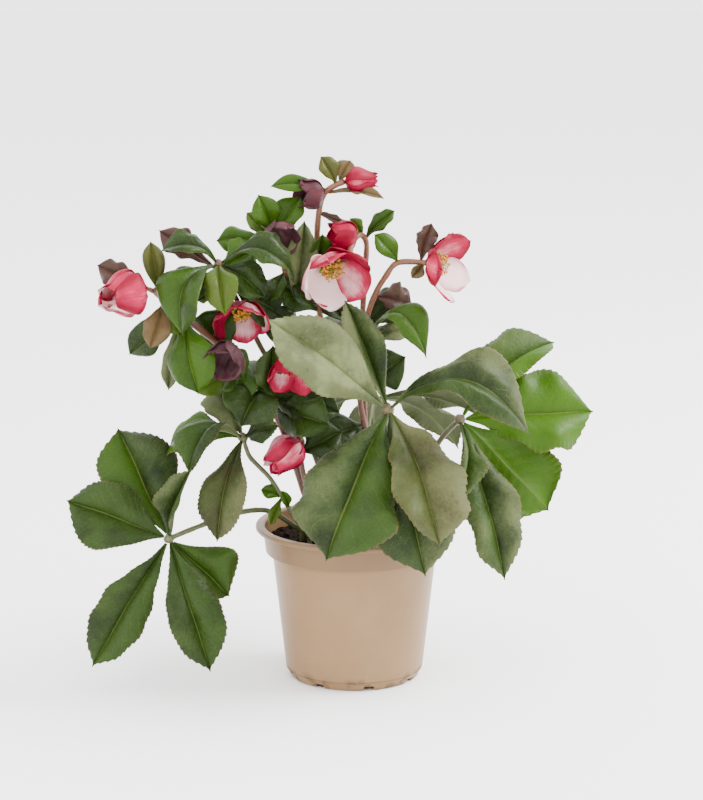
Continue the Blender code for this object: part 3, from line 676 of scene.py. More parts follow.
def blade_surface(shape, lines, habit, seed, teeth, tooth, blunt, thickness, columns):
    """A blade on a grid of t from foot to tip and s from margin to margin.

    A point is the midrib at t plus s times the half on its side, times an outline that narrows at the tip, swells
    before it by blunt, and swings in and out by frill. The halves bulge between midrib and margin, droop and wave
    towards the margin, curl down near the tip, and sink along the midrib and slanting side veins. The margin is a
    saw whose teeth point to the tip. The underside lies a thickness below, with a keel under the midrib.
    """
    middle, left, right = lines
    t = np.linspace(0, 1, teeth * STEPS_PER_TOOTH + 1)
    s = np.concatenate([-columns[:0:-1], columns])
    size, T, S = abs(s)[None, :], t[:, None], s[None, :]
    centre, port, starboard = smooth(middle, t), smooth(left, t), smooth(right, t)
    heading = unit(np.gradient(centre, axis=0))
    side = unit(starboard - port)
    up = unit(np.cross(side, heading))
    half = (np.linalg.norm(port, axis=1) + np.linalg.norm(starboard, axis=1))[:, None] / 2
    sharp = 1 - T**30
    saw = (T * teeth) % 1.0 * np.clip(T * 6, 0, 1) * sharp
    uneven = 1 + 0.11 * ripple(seed, T * 5, np.sign(S) * 2) * size
    full = 1 + 0.06 * np.sin(math.pi * T) + blunt * np.exp(-(((T - 0.84) / 0.13) ** 2))
    uneven = uneven + habit.frill * size * np.sin(2 * math.pi * LOBES * T + seed + (S > 0) * 2.2)
    outline = sharp * full * uneven + tooth / np.maximum(half, 0.002) * (saw - 0.4) * size**8
    arms = np.where(S[..., None] < 0, port[:, None], starboard[:, None]) * (size * outline)[..., None]
    vein = VEIN_FOLDS * (T - VEIN_SLANT * size)
    groove = np.abs(np.cos(math.pi * vein)) ** 6 * np.clip(size * 6, 0, 1) * (1 - size**3)
    level = half * (habit.bulge * 4 * size * (1 - size) - DROOP * size**2)
    level = level + half * 1.6 * habit.wave * size**2 * np.sin(6.283 * habit.waves * T + seed + (S > 0) * 1.9)
    level = level + half * 0.17 * ripple(seed + 7, T * 3, S * 1.5) * size
    level = level - np.minimum(GROOVE_DEPTH, half * 0.025) * groove
    level = level - CHANNEL_DEPTH * np.exp(-((size * half / CHANNEL_WIDTH) ** 2)) * np.clip(T * 8, 0, 1)
    level = level - half * habit.curl * np.clip(T - 0.6, 0, 1) ** 2 * 12
    sway = half * SWAY * np.sin(5.5 * T + seed) * np.sin(math.pi * T)
    upper = (centre[:, None] + arms + up[:, None] * level[..., None] + side[:, None] * sway[..., None]
             + heading[:, None] * (tooth * 0.7 * saw * size**8)[..., None])
    thick = thickness * (1 - 0.5 * size**2) + KEEL_DEPTH * (1 - T) * np.exp(-((size * half / KEEL_WIDTH) ** 2))
    # The wax share paints waxy bloom and painted sheen, the light share fresher green and the painted glow of backlit
    # leaflets.
    wax_and_sheen, light = (np.where(S < 0, *pair) + 0 * T for pair in (habit.wax_and_sheen, habit.light))
    shape.add(upper, upper - normals(upper) * thick[..., None], kinds=(0, 1, 0),
              place=spread(S * 0.5 + 0.5, T), paint=spread(wax_and_sheen, light, habit.brown, habit.purple))


# Flowers ------------------------------------------------------------------------------------------


# A flower's materials after the outer and inner side of its sepals, and the turn from one stamen to the next.
STAMEN, NECTARY, FLOWER_STALK = 2, 3, 4
GOLDEN_ANGLE = 2.399
SEPAL_ROWS, SEPAL_COLUMNS = 34, 21
WIDEST_BEND = 1.25


def turned(axis, outwards, bloom):
    """A flower's axis and sepal directions once it faces along its own axis and has spun about it.

    The first turn is the shortest one between the two axes, the second is by cos and sin of the spin.
    """
    goal = unit(np.array(bloom.axis or axis, float))
    between, level = np.cross(axis, goal), axis @ goal
    outwards = outwards * level + np.cross(between, outwards) + between * (outwards @ between)[:, None] / (1 + level)
    turn = math.radians(bloom.spin)
    return goal, outwards * math.cos(turn) + np.cross(goal, outwards) * math.sin(turn)


def drawn_curve(length, lean):
    """A small cup's curve by formula: equal steps out and forward, whose angle to the axis falls from 84 degrees to
    the lean by a quarter of a sine. Every sixth point is kept."""
    start, steps, every = math.radians(84), 24, 6
    angle = start + (math.radians(lean) - start) * np.sin(np.linspace(0, 1, steps + 1) * math.pi / 2)
    moves = np.stack([np.sin(angle), np.cos(angle)], axis=1) * length * MM / steps
    return np.concatenate([[[0, 0]], np.cumsum(moves[:-1], axis=0)])[::every]


def sepal(shape, seat, axis, outwards, curve, layer, bloom, thickness, seed):
    """One sepal on a grid of u from base to tip and v across.

    The curve's distance out and forward at u gives its middle line, drawn in towards the tip if the flower is
    closed. Across, it wraps round the axis by an angle of v times its half width over that distance, held below
    a right angle. The margin waves, and the tip of an open flower turns out a little.
    """
    u, v = np.linspace(0, 1, SEPAL_ROWS), np.linspace(-1, 1, SEPAL_COLUMNS)
    U, V = u[:, None], v[None, :]
    path = smooth(curve, u) * bloom.size
    length = np.linalg.norm(np.diff(path, axis=0), axis=1).sum()
    sideways = np.cross(axis, outwards)
    width = bloom.breadth * length * (1 - (1 - U) ** 3) ** 0.8 * np.sqrt(1 - U**bloom.blunt) + 0.0004
    width = width * (1 + 0.06 * ripple(seed, U * 3, V))
    drawn = np.clip((U - 0.35) / 0.65, 0, 1)
    away = path[:, :1] * (1 - bloom.closed * drawn**2 * (3 - 2 * drawn))
    away = away + 0.0012 * layer * np.sin(math.pi / 2 * np.clip(U * 1.5, 0, 1))
    bend = WIDEST_BEND * np.tanh(width / np.maximum(away, 0.003) / WIDEST_BEND) * V
    loose = 1 - bloom.closed
    wave = 0.045 * length * V**2 * U * np.sin(4.5 * U + seed * 1.7 + V)
    wave = wave + 0.025 * length * ripple(seed + 3, U * 2.5, V * 1.5) * U
    flare = 0.05 * length * np.clip(U - 0.75, 0, 1) * 4
    out = away - away * (1 - np.cos(bend)) * 0.9 + (wave + flare) * loose
    forward = path[:, 1:] - 0.10 * length * np.abs(V) ** 3 * U + 0.012 * length * ripple(seed + 9, U * 4, V * 2) * U
    crease = -0.0004 * np.exp(-((V / 0.06) ** 2)) * (1 - U)
    upper = (seat + outwards * (out + crease)[..., None] + axis * forward[..., None]
             + sideways * (away * np.sin(bend) * (1 + 0.25 * U * loose))[..., None])
    depth = bloom.depth + 0.15 * layer - outwards @ np.array(bloom.pale, float)
    shape.add(upper, upper - normals(upper) * thickness, kinds=(0, 1, 0),
              place=spread(V * 0.5 + 0.5, U), paint=spread(depth + 0 * U * V, bloom.faded, 0, 0))


def flower_heart(shape, seat, axis, outwards, reach, share, stamens, seed):
    """Nectaries in a ring, curved stamens with oval anthers at seeded angles, and four pistils in the middle."""
    dice = np.random.default_rng(seed)
    first, second = outwards[0], np.cross(axis, outwards[0])
    nectaries, pistils = 11, 4
    for number in range(nectaries):
        away = spoke(number * 2 * math.pi / nectaries + dice.uniform(-0.1, 0.1), first, second)
        t = np.linspace(0, 1, 6)[:, None]
        path = seat + away * (0.10 + 0.10 * t) * reach + axis * (0.04 + 0.16 * t) * reach
        add_rod(shape, path, np.array([0.4, 0.7, 0.9, 1.0, 1.15, 1.2]) * MM, 8, NECTARY)
    t = np.linspace(0, 1, 7)[:, None]
    for number in range(int(stamens * share)):
        away, lean = spoke(number * GOLDEN_ANGLE, first, second), math.sqrt(dice.uniform(0.04, 1))
        tall = reach * dice.uniform(0.20, 0.31)
        path = seat + away * reach * (0.05 + 0.14 * lean * t**1.4) + axis * (0.06 * reach + tall * t)
        path = path + dice.normal(size=3) * 0.0006 * t
        add_rod(shape, path, np.full(7, 0.22) * MM, 5, STAMEN)
        side = unit(np.cross(unit(path[-1] - path[-2]), dice.normal(size=3)))
        anther = np.linspace(-1, 1, 6)[:, None] * side * 0.0013 + path[-1]
        grid, place = tube(anther, np.array([0, 0.55, 0.75, 0.75, 0.55, 0]) * MM, 6)
        shape.add(grid, kinds=(STAMEN,), place=place)
    for number in range(pistils):
        away = spoke(number * 2 * math.pi / pistils + 0.4, first, second)
        path = seat + away * reach * (0.03 + 0.06 * t**3) + axis * reach * (0.05 + 0.36 * t)
        add_rod(shape, path, np.array([1.2, 1.3, 1.1, 0.7, 0.45, 0.35, 0.3]) * MM, 8, NECTARY)


def whole_flower(name, seat, axis, outwards, curve, bloom, sizes, slot, finishes, nodes):
    """Five sepals, the second and fourth tucked inside, with a heart where one shows and a stalk if it stands off."""
    shape = Shape()
    seed = sum(map(ord, name))
    axis, outwards = turned(axis, outwards, bloom)
    if any(bloom.shift):
        start, seat = seat, seat + np.array(bloom.shift) * MM
        t = np.linspace(0, 1, 12)[:, None]
        path = (1 - t) ** 2 * start + 2 * t * (1 - t) * (seat - axis * 0.006) + t**2 * (seat + axis * 0.0006)
        add_rod(shape, path, np.linspace(1.5, 2.0, 12) * MM, 12, FLOWER_STALK)
    length = np.linalg.norm(np.diff(curve, axis=0), axis=1).sum()
    for number, layer in enumerate((1.0, -1.0, 0.6, -0.6, 0.0)):
        sepal(shape, seat, axis, outwards[number], curve, layer, bloom, sizes.thickness, seed + number)
    if bloom.heart:
        flower_heart(shape, seat, axis, outwards, length, bloom.heart, sizes.stamens, seed)
    return shape.finish(f"{name}_bloom", finishes, slot, *nodes)


# Node trees ---------------------------------------------------------------------------------------


# Linear colours of small marks that no setting changes.
SPECK = (0.25, 0.26, 0.19, 1)
SPENT_VEIN = (0.03, 0.015, 0.02, 1)
STEM_DOT = (0.31, 0.28, 0.22, 1)
SCUFF = (0.47, 0.44, 0.39, 1)
GRIT = (0.10, 0.075, 0.05, 1)


def linear(shown, strength=1.0):
    """A display colour as the linear colour that a shader takes, made darker or brighter by a strength."""
    return (*((c / 12.92 if c <= 0.04045 else ((c + 0.055) / 1.055) ** 2.4) * strength for c in shown), 1.0)


class Wire:
    """One socket of a node tree. Sums on wires add Math nodes, and node() adds any other kind."""

    def __init__(self, tree, socket=None):
        self.tree, self.socket = tree, socket

    def node(self, kind, settings=None, inputs=None, output=0):
        """Adds a node, with its settings first and then the values or wires of its sockets."""
        made = self.tree.nodes.new("ShaderNode" + kind)
        for key, value in (settings or {}).items():
            if key == "stops":
                ramp = made.color_ramp.elements
                for number, (position, shown) in enumerate(value):
                    stop = ramp[number] if number < 2 else ramp.new(position)
                    stop.position, stop.color = position, shown
            else:
                setattr(made, key, value)
        for key, value in (inputs or {}).items():
            if isinstance(value, Wire):
                self.tree.links.new(value.socket, made.inputs[key])
            else:
                made.inputs[key].default_value = value
        return Wire(self.tree, made.outputs[output] if made.outputs else None)

    def also(self, output):
        """Another output of the same node."""
        return Wire(self.tree, self.socket.node.outputs[output])

    def math(self, operation, a, b=0.0):
        """A Math node on two wires or numbers."""
        return self.node("Math", {"operation": operation}, {0: a, 1: b})

    def __add__(self, other):
        return self.math("ADD", self, other)

    __radd__ = __add__

    def __mul__(self, other):
        return self.math("MULTIPLY", self, other)

    __rmul__ = __mul__

    def __sub__(self, other):
        return self.math("SUBTRACT", self, other)

    def __rsub__(self, other):
        return self.math("SUBTRACT", other, self)

    def __mod__(self, other):
        return self.math("FLOORED_MODULO", self, other)

    def __pow__(self, other):
        return self.math("POWER", self, other)

    def __abs__(self):
        return self.math("ABSOLUTE", self)

    def ease(self, low, high):
        """0 up to low, 1 from high, and a smooth rise between."""
        return self.node("MapRange", {"interpolation_type": "SMOOTHSTEP"}, {0: self, 1: low, 2: high})

    def blend(self, under, over):
        """Two colours mixed by this wire."""
        return self.node("Mix", {"data_type": "RGBA"}, {0: self, 6: under, 7: over}, 2)

    def noise(self, scale, detail=3.0, rough=0.55):
        """Cloudy noise on coordinates, about 0.5 on average."""
        return self.node("TexNoise", None, {"Vector": self, "Scale": scale, "Detail": detail, "Roughness": rough})

    def cells(self, scale, feature="F1"):
        """Distance in a pattern of cells, to the nearest centre or edge."""
        return self.node("TexVoronoi", {"feature": feature}, {"Vector": self, "Scale": scale}, "Distance")

    def stretch(self, x, y, z):
        """Coordinates scaled along each axis."""
        return self.node("Mapping", None, {"Vector": self, "Scale": (x, y, z)})

    def axes(self):
        """The X, Y and Z of coordinates."""
        x = self.node("SeparateXYZ", None, {0: self}, "X")
        return x, x.also("Y"), x.also("Z")

    def skin(self):
        """Coordinates on a piece's own skin: X across or round it, Y from its foot to its tip."""
        return self.node("UVMap", {"uv_map": "place"})

    def painted(self):
        """The four shares that a blade or a sepal carries at its points."""
        paint = self.node("Attribute", {"attribute_name": "paint"}, output="Color")
        first = self.node("SeparateColor", None, {0: paint}, "Red")
        return first, first.also("Green"), first.also("Blue"), paint.also("Alpha")


def new_finish(name):
    """An empty material and the wire of its object coordinates."""
    material = bpy.data.materials.new(name)
    material.use_nodes = True
    material.node_tree.nodes.clear()
    return material, Wire(material.node_tree).node("TexCoord", output="Object")


def close_finish(base, rough, height, strength, distance, see_through=None, share=0.0, **constants):
    """The shader: colour, roughness and relief, and for thin tissue a share of light let through."""
    relief = base.node("Bump", None, {"Strength": strength, "Distance": distance, "Height": height})
    inputs = {"Base Color": base, "Roughness": rough, "Normal": relief}
    inputs.update({key.replace("_", " "): value for key, value in constants.items()})
    shader = base.node("BsdfPrincipled", None, inputs)
    if see_through:
        thin = base.node("BsdfTranslucent", None, {"Color": see_through})
        shader = base.node("MixShader", None, {0: share, 1: shader, 2: thin})
    base.node("OutputMaterial", None, {"Surface": shader})


def blade_finish(name, colours, veins, upper, share, gloss, rim):
    """Leaf tissue: mottled green, fresher green that on backlit leaflets is a painted glow, waxy patches with painted
    sheen that grows towards margin and tip, specks, netted cells, slanting side veins and a pale midrib.

    Side veins lie where t less the slant times the distance across, times the number of veins, is a whole number, so
    they run forward to the margin. Share is the light let through, gloss the least roughness of the upper side.
    """
    material, spot = new_finish(name)
    x, t, _ = spot.skin().axes()
    across = abs(x * 2.0 - 1.0)
    wax_and_sheen, light, brown, purple = spot.painted()
    patches, grain, clouds = spot.noise(55, 4), spot.noise(420, 3), spot.noise(24, 2)
    u = (t - across * VEIN_SLANT) * float(veins) + spot.noise(120, 2) * 0.22
    side_vein = abs(u % 1.0 - 0.5).ease(0.462, 0.5) * across.ease(0.0, 0.06) * patches.ease(0.36, 0.6)
    small_vein = abs((u * 4.0 + across * 6.0) % 1.0 - 0.5).ease(0.40, 0.5)
    net = spot.cells(330, "DISTANCE_TO_EDGE").ease(0.09, 0.0)
    midrib = across.ease(0.030, 0.010)
    fresh_and_backlit_green, vein = linear(colours.fresh_and_backlit_green), linear(colours.vein)
    if upper:
        tissue = patches.ease(0.32, 0.62).blend(linear(colours.deep, 0.50), linear(colours.deep))
        tissue = (clouds.ease(0.48, 0.62) * 0.45).blend(tissue, linear(colours.deep, 1.7))
        # Fresher green by the light share; on backlit leaflets this is a painted glow.
        tissue = (light * (patches * 0.6 + 0.6)).blend(tissue, fresh_and_backlit_green)
        # Waxy bloom and painted sheen: grey-green that grows towards margin and tip, whose brightest patches are a
        # painted whitish sheen.
        zone = (across * 0.7 + t * 0.55 + (clouds - 0.5) * 2.4).ease(0.15, 1.15)
        bloom = (wax_and_sheen * (zone * 0.6 + wax_and_sheen * 0.5) * (patches * 0.8 + grain * 0.7)).ease(0.10, 0.60)
        tissue = (bloom * 0.9).blend(tissue, linear(colours.wax_and_sheen))
        scurf_and_sheen = bloom * wax_and_sheen.ease(0.75, 1.0) * (clouds * 0.6 + patches * 0.5).ease(0.54, 0.66)
        tissue = (scurf_and_sheen * 0.6).blend(tissue, linear(colours.wax_and_sheen, 1.9))
        specks = spot.noise(800, 1).ease(0.68, 0.74) * patches.ease(0.4, 0.6) * (wax_and_sheen * 0.7 + 0.15)
        tissue = (specks * 0.45).blend(tissue, SPECK)
        for share_of_vein in (net * 0.12 + small_vein * 0.06, side_vein * 0.40, midrib * 0.60):
            tissue = share_of_vein.blend(tissue, vein)
        rough = bloom * 0.25 + grain * 0.12 + gloss
        height = net * -0.25 + side_vein * -0.7 + grain * 0.25 + patches * 0.4 + midrib * -0.5
    else:
        tissue = patches.ease(0.3, 0.7).blend(linear(colours.under, 0.7), linear(colours.under))
        # Fresher green and the painted glow of backlit leaflets, as on the upper side.
        tissue = (light * 0.55).blend(tissue, fresh_and_backlit_green)
        tissue = (net * 0.20 + side_vein * 0.4 + midrib * 0.6).blend(tissue, vein)
        rough = grain * 0.1 + 0.5
        height = net * 0.4 + side_vein * 1.0 + midrib * 1.5 + grain * 0.2
    edge = across.ease(0.94, 0.99) * (patches * 0.8 + 0.2)
    tissue = (edge * 0.6).blend(tissue, linear(rim))
    tissue = (brown * (spot.noise(90, 4) * 1.6 - 0.1).ease(0.1, 0.8)).blend(tissue, linear(colours.tan))
    tissue = (purple * (spot.noise(110, 4) + 0.25).ease(0.2, 0.9)).blend(tissue, linear(colours.purple))
    close_finish(tissue, rough, height, 0.55, 0.0005, fresh_and_backlit_green, share, Specular_IOR_Level=0.16)
    return material


def sepal_finish(name, colours, inner):
    """Petal tissue: a pale heart of each sepal, deeper margins and base, and fine veins that run to the tip."""
    material, spot = new_finish(name)
    skin = spot.skin()
    x, u, _ = skin.axes()
    v = x * 2.0 - 1.0
    depth, faded, *_ = spot.painted()
    veins = skin.stretch(26.0, 1.6, 1.0).noise(1.0, 3, 0.6)
    blush = spot.noise(70, 3)
    margin = abs(v).ease(0.15, 1.05) * 0.65 + u.ease(0.70, 1.0) * 0.35 + u.ease(0.35, 0.0) * 0.4
    rose = margin + depth * 1.05 + (veins - 0.5) * 0.4 + (blush - 0.5) * 0.8 - (0.46 if inner else 0.05)
    tissue = rose.ease(0.05, 0.75).blend(linear(colours.pale), linear(colours.pink))
    tissue = rose.ease(0.60, 1.25).blend(tissue, linear(colours.crimson))
    dull = (faded * (blush * 0.7 + 0.6)).ease(0.1, 1.0)
    tissue = dull.blend(tissue, linear(colours.faded))
    tissue = (faded * veins.ease(0.5, 0.75) * 0.5).blend(tissue, SPENT_VEIN)
    if inner:
        tissue = (u.ease(0.16, 0.02) * (1.0 - faded)).blend(tissue, linear(colours.nectar))
    rough = blush * 0.15 + 0.38
    height = veins * 0.8 + spot.noise(500, 2) * 0.2
    close_finish(tissue, rough, height, 0.35, 0.0004, tissue, 0.35, Specular_IOR_Level=0.2)
    return material


def plain_finish(name, shown, second, rough, scale):
    """Small parts: two tones in a fine mottle, with relief from the same mottle."""
    material, spot = new_finish(name)
    mottle = spot.noise(scale, 4)
    tissue = mottle.ease(0.3, 0.7).blend(linear(shown), linear(second))
    close_finish(tissue, mottle * 0.2 + rough, mottle, 0.3, 0.0003)
    return material


def stem_finish(name, low, high, joint):
    """Stem skin: one tone near the soil, the other higher up, long fine streaks, pale dots and a darker tip."""
    material, spot = new_finish(name)
    skin = spot.skin()
    *_, tall = spot.axes()
    streaks = skin.stretch(18.0, 5.0, 1.0).noise(1.0, 4, 0.6)
    mottle = spot.noise(150, 4)
    height = tall.ease(0.13, 0.30) * 0.8 + (mottle - 0.5) * 1.2
    tissue = height.ease(0.0, 1.0).blend(linear(low), linear(high))
    tissue = (streaks.ease(0.5, 0.75) * 0.45).blend(tissue, linear(joint))
    tissue = (skin.axes()[1].ease(0.975, 0.99) * 0.6).blend(tissue, linear(joint))
    tissue = (spot.noise(600, 1).ease(0.66, 0.74) * 0.35).blend(tissue, STEM_DOT)
    close_finish(tissue, mottle * 0.2 + 0.36, streaks * 0.8 + mottle * 0.3, 0.4, 0.0004)
    return material


def pot_finish(colours):
    """Moulded plastic: satin taupe with faint rings, a collar painted darker as painted shade under the lip, dust in
    soft patches, scuffs, and soil stains near the foot.

    The heights in metres are where the collar begins, where the foot's stain ends and where the foot's edge is.
    """
    material, spot = new_finish("pot_plastic_satin")
    *_, tall = spot.axes()
    cloud, fine = spot.noise(26, 4), spot.noise(380, 3)
    scuffs = spot.stretch(1.0, 1.0, 0.06).noise(700, 2)
    tissue = (cloud.ease(0.35, 0.7) * 0.22).blend(linear(colours.plastic), linear(colours.dust))
    # Painted shade: the collar above 97 mm is painted darker, for the shade under the lip.
    tissue = (tall.ease(0.0970, 0.0982) * 0.85).blend(tissue, linear(colours.plastic, 0.66))
    foot = tall.ease(0.013, 0.0055) * spot.noise(95, 4).ease(0.46, 0.62)
    edge = abs(tall - 0.0072).ease(0.0009, 0.0002)
    tissue = (foot * 0.55 + edge * 0.4).blend(tissue, linear(colours.stain))
    splash = spot.cells(150).ease(0.10, 0.04) * spot.noise(30, 2).ease(0.52, 0.66)
    tissue = (splash * 0.35).blend(tissue, linear(colours.stain))
    tissue = (scuffs.ease(0.62, 0.8) * 0.05).blend(tissue, SCUFF)
    rough = cloud * 0.14 + foot * 0.3 + scuffs * 0.08 + 0.26
    rings = tall.math("SINE", tall * 900.0)
    height = fine * 0.35 + scuffs * 0.25 + rings * 0.05 + foot * 0.4
    close_finish(tissue, rough, height, 0.16, 0.0003, Specular_IOR_Level=0.22)
    return material


def soil_finish(colours):
    """Coarse peat: lumps with painted shade in the hollows between them, paler fibres and a rough broken surface."""
    material, spot = new_finish("peat_coarse")
    lumps, grit = spot.cells(260), spot.noise(700, 4, 0.7)
    fibres = spot.stretch(1.0, 0.25, 1.0).noise(520, 3)
    # Painted shade: the peat is painted darker away from the lumps' centres, in the hollows that the relief sinks.
    tissue = lumps.ease(0.1, 0.75).blend(linear(colours.peat), linear(colours.peat, 0.45))
    tissue = (fibres.ease(0.60, 0.68) * 0.6).blend(tissue, linear(colours.fibre))
    tissue = (grit.ease(0.68, 0.74) * 0.5).blend(tissue, GRIT)
    close_finish(tissue, grit * 0.15 + 0.8, grit * 0.8 + lumps * -0.8, 0.9, 0.0012, Specular_IOR_Level=0.08)
    return material


FINISHES = {}


def finish_set(context):
    """The materials, made once and shared by all pieces."""
    if FINISHES:
        return FINISHES
    scene = context.scene
    leaf, flower, stalk = scene.hellebore_leaf, scene.hellebore_flower, scene.hellebore_stalk
    red_skin = stem_finish("stem_red_skin", stalk.red, (0.43, 0.25, 0.14), stalk.joint)
    FINISHES.update({
        "leaf": (blade_finish("leaf_upper", leaf, leaf.veins, True, 0.16, 0.36, leaf.tan),
                 blade_finish("leaf_under", leaf, leaf.veins, False, 0.16, 0.36, leaf.tan)),
        "bract": (blade_finish("bract_upper", leaf, 7, True, 0.22, 0.27, leaf.vein),
                  blade_finish("bract_under", leaf, 7, False, 0.22, 0.27, leaf.vein)),
        "sepal": (sepal_finish("sepal_outer", flower, False), sepal_finish("sepal_inner", flower, True),
                  plain_finish("stamen_yellow", flower.pollen, (0.74, 0.52, 0.07), 0.5, 900.0),
                  plain_finish("nectary_green", flower.nectar, (0.64, 0.66, 0.33), 0.3, 500.0), red_skin),
        "stalk_green": (stem_finish("stalk_green_skin", stalk.green, stalk.red, stalk.joint),),
        "stem_red": (red_skin,),
        "pot": (pot_finish(scene.hellebore_pot),),
        "soil": (soil_finish(scene.hellebore_soil),),
    })
    return FINISHES


# Operators ----------------------------------------------------------------------------------------


class HELLEBORE_OT_pot(bpy.types.Operator):
    """Turned pot: an outer and an inner profile with matching stations, swept round, open at the drain slots"""

    bl_idname = "hellebore.pot"
    bl_label = "Pot"

    def execute(self, context):
        sizes = context.scene.hellebore_pot
        low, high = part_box("pot")
        lip, top = (high[0] - low[0]) / 2 / MM, high[2] / MM
        base, wall, band = sizes.base / 2 / MM, sizes.wall / MM, top - sizes.band / MM
        outer = np.array([
            (0, 0), (base - 6, 0), (base - 3, 0), (base - 0.9, 0.9), (base, 3.0), (base + 0.1, 3.5),
            (base + 1.4, 6.0), (base + 2.2, 6.5), (base + 2.4, 7.3), (lip - 12.6, band - 0.6), (lip - 12.2, band),
            (lip - 8.0, band), (lip - 7.5, band + 0.5), (lip - 5.6, top - 5.2), (lip - 4.8, top - 4.4),
            (lip - 0.5, top - 3.3), (lip, top - 2.7), (lip, top - 0.6), (lip - 0.6, top), (lip - 5.8, top),
            (lip - 6.6, top - 0.5)])
        inner = np.array([
            (0, wall), (base - 6, wall), (base - 4.2, wall), (base - 3.4, wall + 0.3), (base - 3.0, wall + 1.2),
            (base - 2.9, wall + 2), (base - 2.5, 6), (base - 2.4, 6.5), (base - 2.3, 7.3), (lip - 14.0, band + 1),
            (lip - 13.6, band + wall), (lip - 9.6, band + wall), (lip - 9.1, band + wall + 0.5),
            (lip - 7.1, top - 5.2), (lip - 7.08, top - 4.4), (lip - 7.05, top - 3.3), (lip - 7.02, top - 2.7),
            (lip - 7, top - 2), (lip - 7, top - 1.6), (lip - 7, top - 1.2), (lip - 6.9, top - 0.8)])
        counts = [3, 2, 3, 3, 1, 3, 3, 3, 26, 3, 4, 3, 12, 3, 4, 3, 2, 3, 3, 2]
        share = np.concatenate([k + eased(np.arange(n) / n) for k, n in enumerate(counts)] + [[len(counts)]])
        rows = [np.stack([np.interp(share, np.arange(len(line)), line[:, axis]) for axis in range(2)], axis=1) * MM
                for line in (outer, inner)]
        slot_top, slot_foot, slot_steps, plain_steps = 5, 1, 4, 18
        period = 2 * math.pi / sizes.slots
        half = sizes.slot_width / sizes.base
        beats = np.concatenate([np.linspace(-half, half, slot_steps + 1)[:-1],
                                np.linspace(half, period - half, plain_steps + 1)[:-1]])
        angle = np.concatenate([beats + number * period for number in range(sizes.slots)] + [[-half + 2 * math.pi]])
        angle = sizes.first_slot + angle
        outside, inside = (spread(line[:, :1] * np.cos(angle), line[:, :1] * np.sin(angle), line[:, 1:])
                           for line in rows)
        outside[:, -1], inside[:, -1] = outside[:, 0], inside[:, 0]
        station = share[:-1]
        open_row = (station >= slot_foot) & (station < slot_top)
        open_column = np.tile(np.arange(len(beats)) < slot_steps, sizes.slots)
        keep = ~(open_row[:, None] & open_column[None, :])
        shape = Shape()
        shape.add(outside, inside, keep=keep)
        shape.finish("pot_shell", finish_set(context)["pot"], "pot_plastic", "pot")
        return {"FINISHED"}


class HELLEBORE_OT_soil(bpy.types.Operator):
    """Soil: a turned profile whose top rises and falls with a sum of sines, and loose crumbs as dented balls"""

    bl_idname = "hellebore.soil"
    bl_label = "Soil"

    def execute(self, context):
        sizes = context.scene.hellebore_soil
        low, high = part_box("soil")
        radius, top = (high[0] - low[0]) / 2, high[2]
        top_rings = 60
        out = np.concatenate([np.linspace(0, 1, top_rings), [0.985, 0.86, 0.74, 0.70, 0.0]]) * radius
        level = np.concatenate([np.full(top_rings, top), [top - 0.004, 0.100, 0.030, low[2], low[2]]])
        angle = np.linspace(0, 2 * math.pi, 181)
        x, y = out[:, None] * np.cos(angle), out[:, None] * np.sin(angle)
        bumps = sum(ripple(n + 1, x * k, y * k) / (n + 1) for n, k in enumerate((60, 130, 300, 640)))
        on_top = (np.arange(len(out)) < top_rings)[:, None]
        grid = np.stack([x, y, level[:, None] + on_top * (sizes.relief * 0.5 * bumps - 0.0008)], axis=-1)
        grid[0], grid[-1] = grid[0].mean(axis=0), grid[-1].mean(axis=0)
        grid = grid[::-1]
        grid[:, -1] = grid[:, 0]
        shape = Shape()
        shape.add(grid)
        dice = np.random.default_rng(11)
        climb, girth = np.linspace(0, math.pi, 6)[:, None], np.linspace(0, 2 * math.pi, 8)
        round_ball = spread(np.sin(climb) * np.cos(girth), np.sin(climb) * np.sin(girth), -np.cos(climb))
        for number in range(sizes.crumbs):
            away, turn = math.sqrt(dice.uniform(0, 0.93)) * radius, dice.uniform(0, 6.283)
            size = dice.uniform(0.0008, 0.0026) * (1 - 0.3 * dice.uniform())
            ball = round_ball * dice.uniform(0.6, 1.3, 3)
            ball = ball * (1 + 0.25 * ripple(number, ball[..., 0], ball[..., 1], ball[..., 2]))[..., None] * size
            ball[0], ball[-1] = ball[0, 0], ball[-1, 0]
            ball[:, -1] = ball[:, 0]
            shape.add(ball + np.array([math.cos(turn) * away, math.sin(turn) * away, top - 0.0002]))
        shape.finish("soil_peat", finish_set(context)["soil"], "soil", "soil")
        return {"FINISHED"}


STALK_STEP = 1.6 * MM


class HELLEBORE_OT_stalks(bpy.types.Operator):
    """Stalks: a smooth tube along each CAD centreline, thicker at the foot and a little uneven"""

    bl_idname = "hellebore.stalks"
    bl_label = "Stalks and stems"

    def execute(self, context):
        sizes = context.scene.hellebore_stalk
        for name, (path, radii) in LINES.items():
            length = np.linalg.norm(np.diff(path, axis=0), axis=1).sum()
            t = np.linspace(0, 1, int(length / STALK_STEP))
            centre = smooth(path, t)
            radius = np.maximum(smooth(radii[:, None], t)[:, 0], radii.min() * 0.9)
            radius = radius * (1 + 0.05 * ripple(len(name), t * 40) + 0.12 * np.exp(-t * 30))
            centre[:2] -= np.array([0, 0, 2 * MM])
            shape = Shape()
            add_rod(shape, centre, radius, sizes.sides)
            shape.finish(f"{name}_tube", finish_set(context)[FINISH_OF[name]], FINISH_OF[name], name)
        return {"FINISHED"}


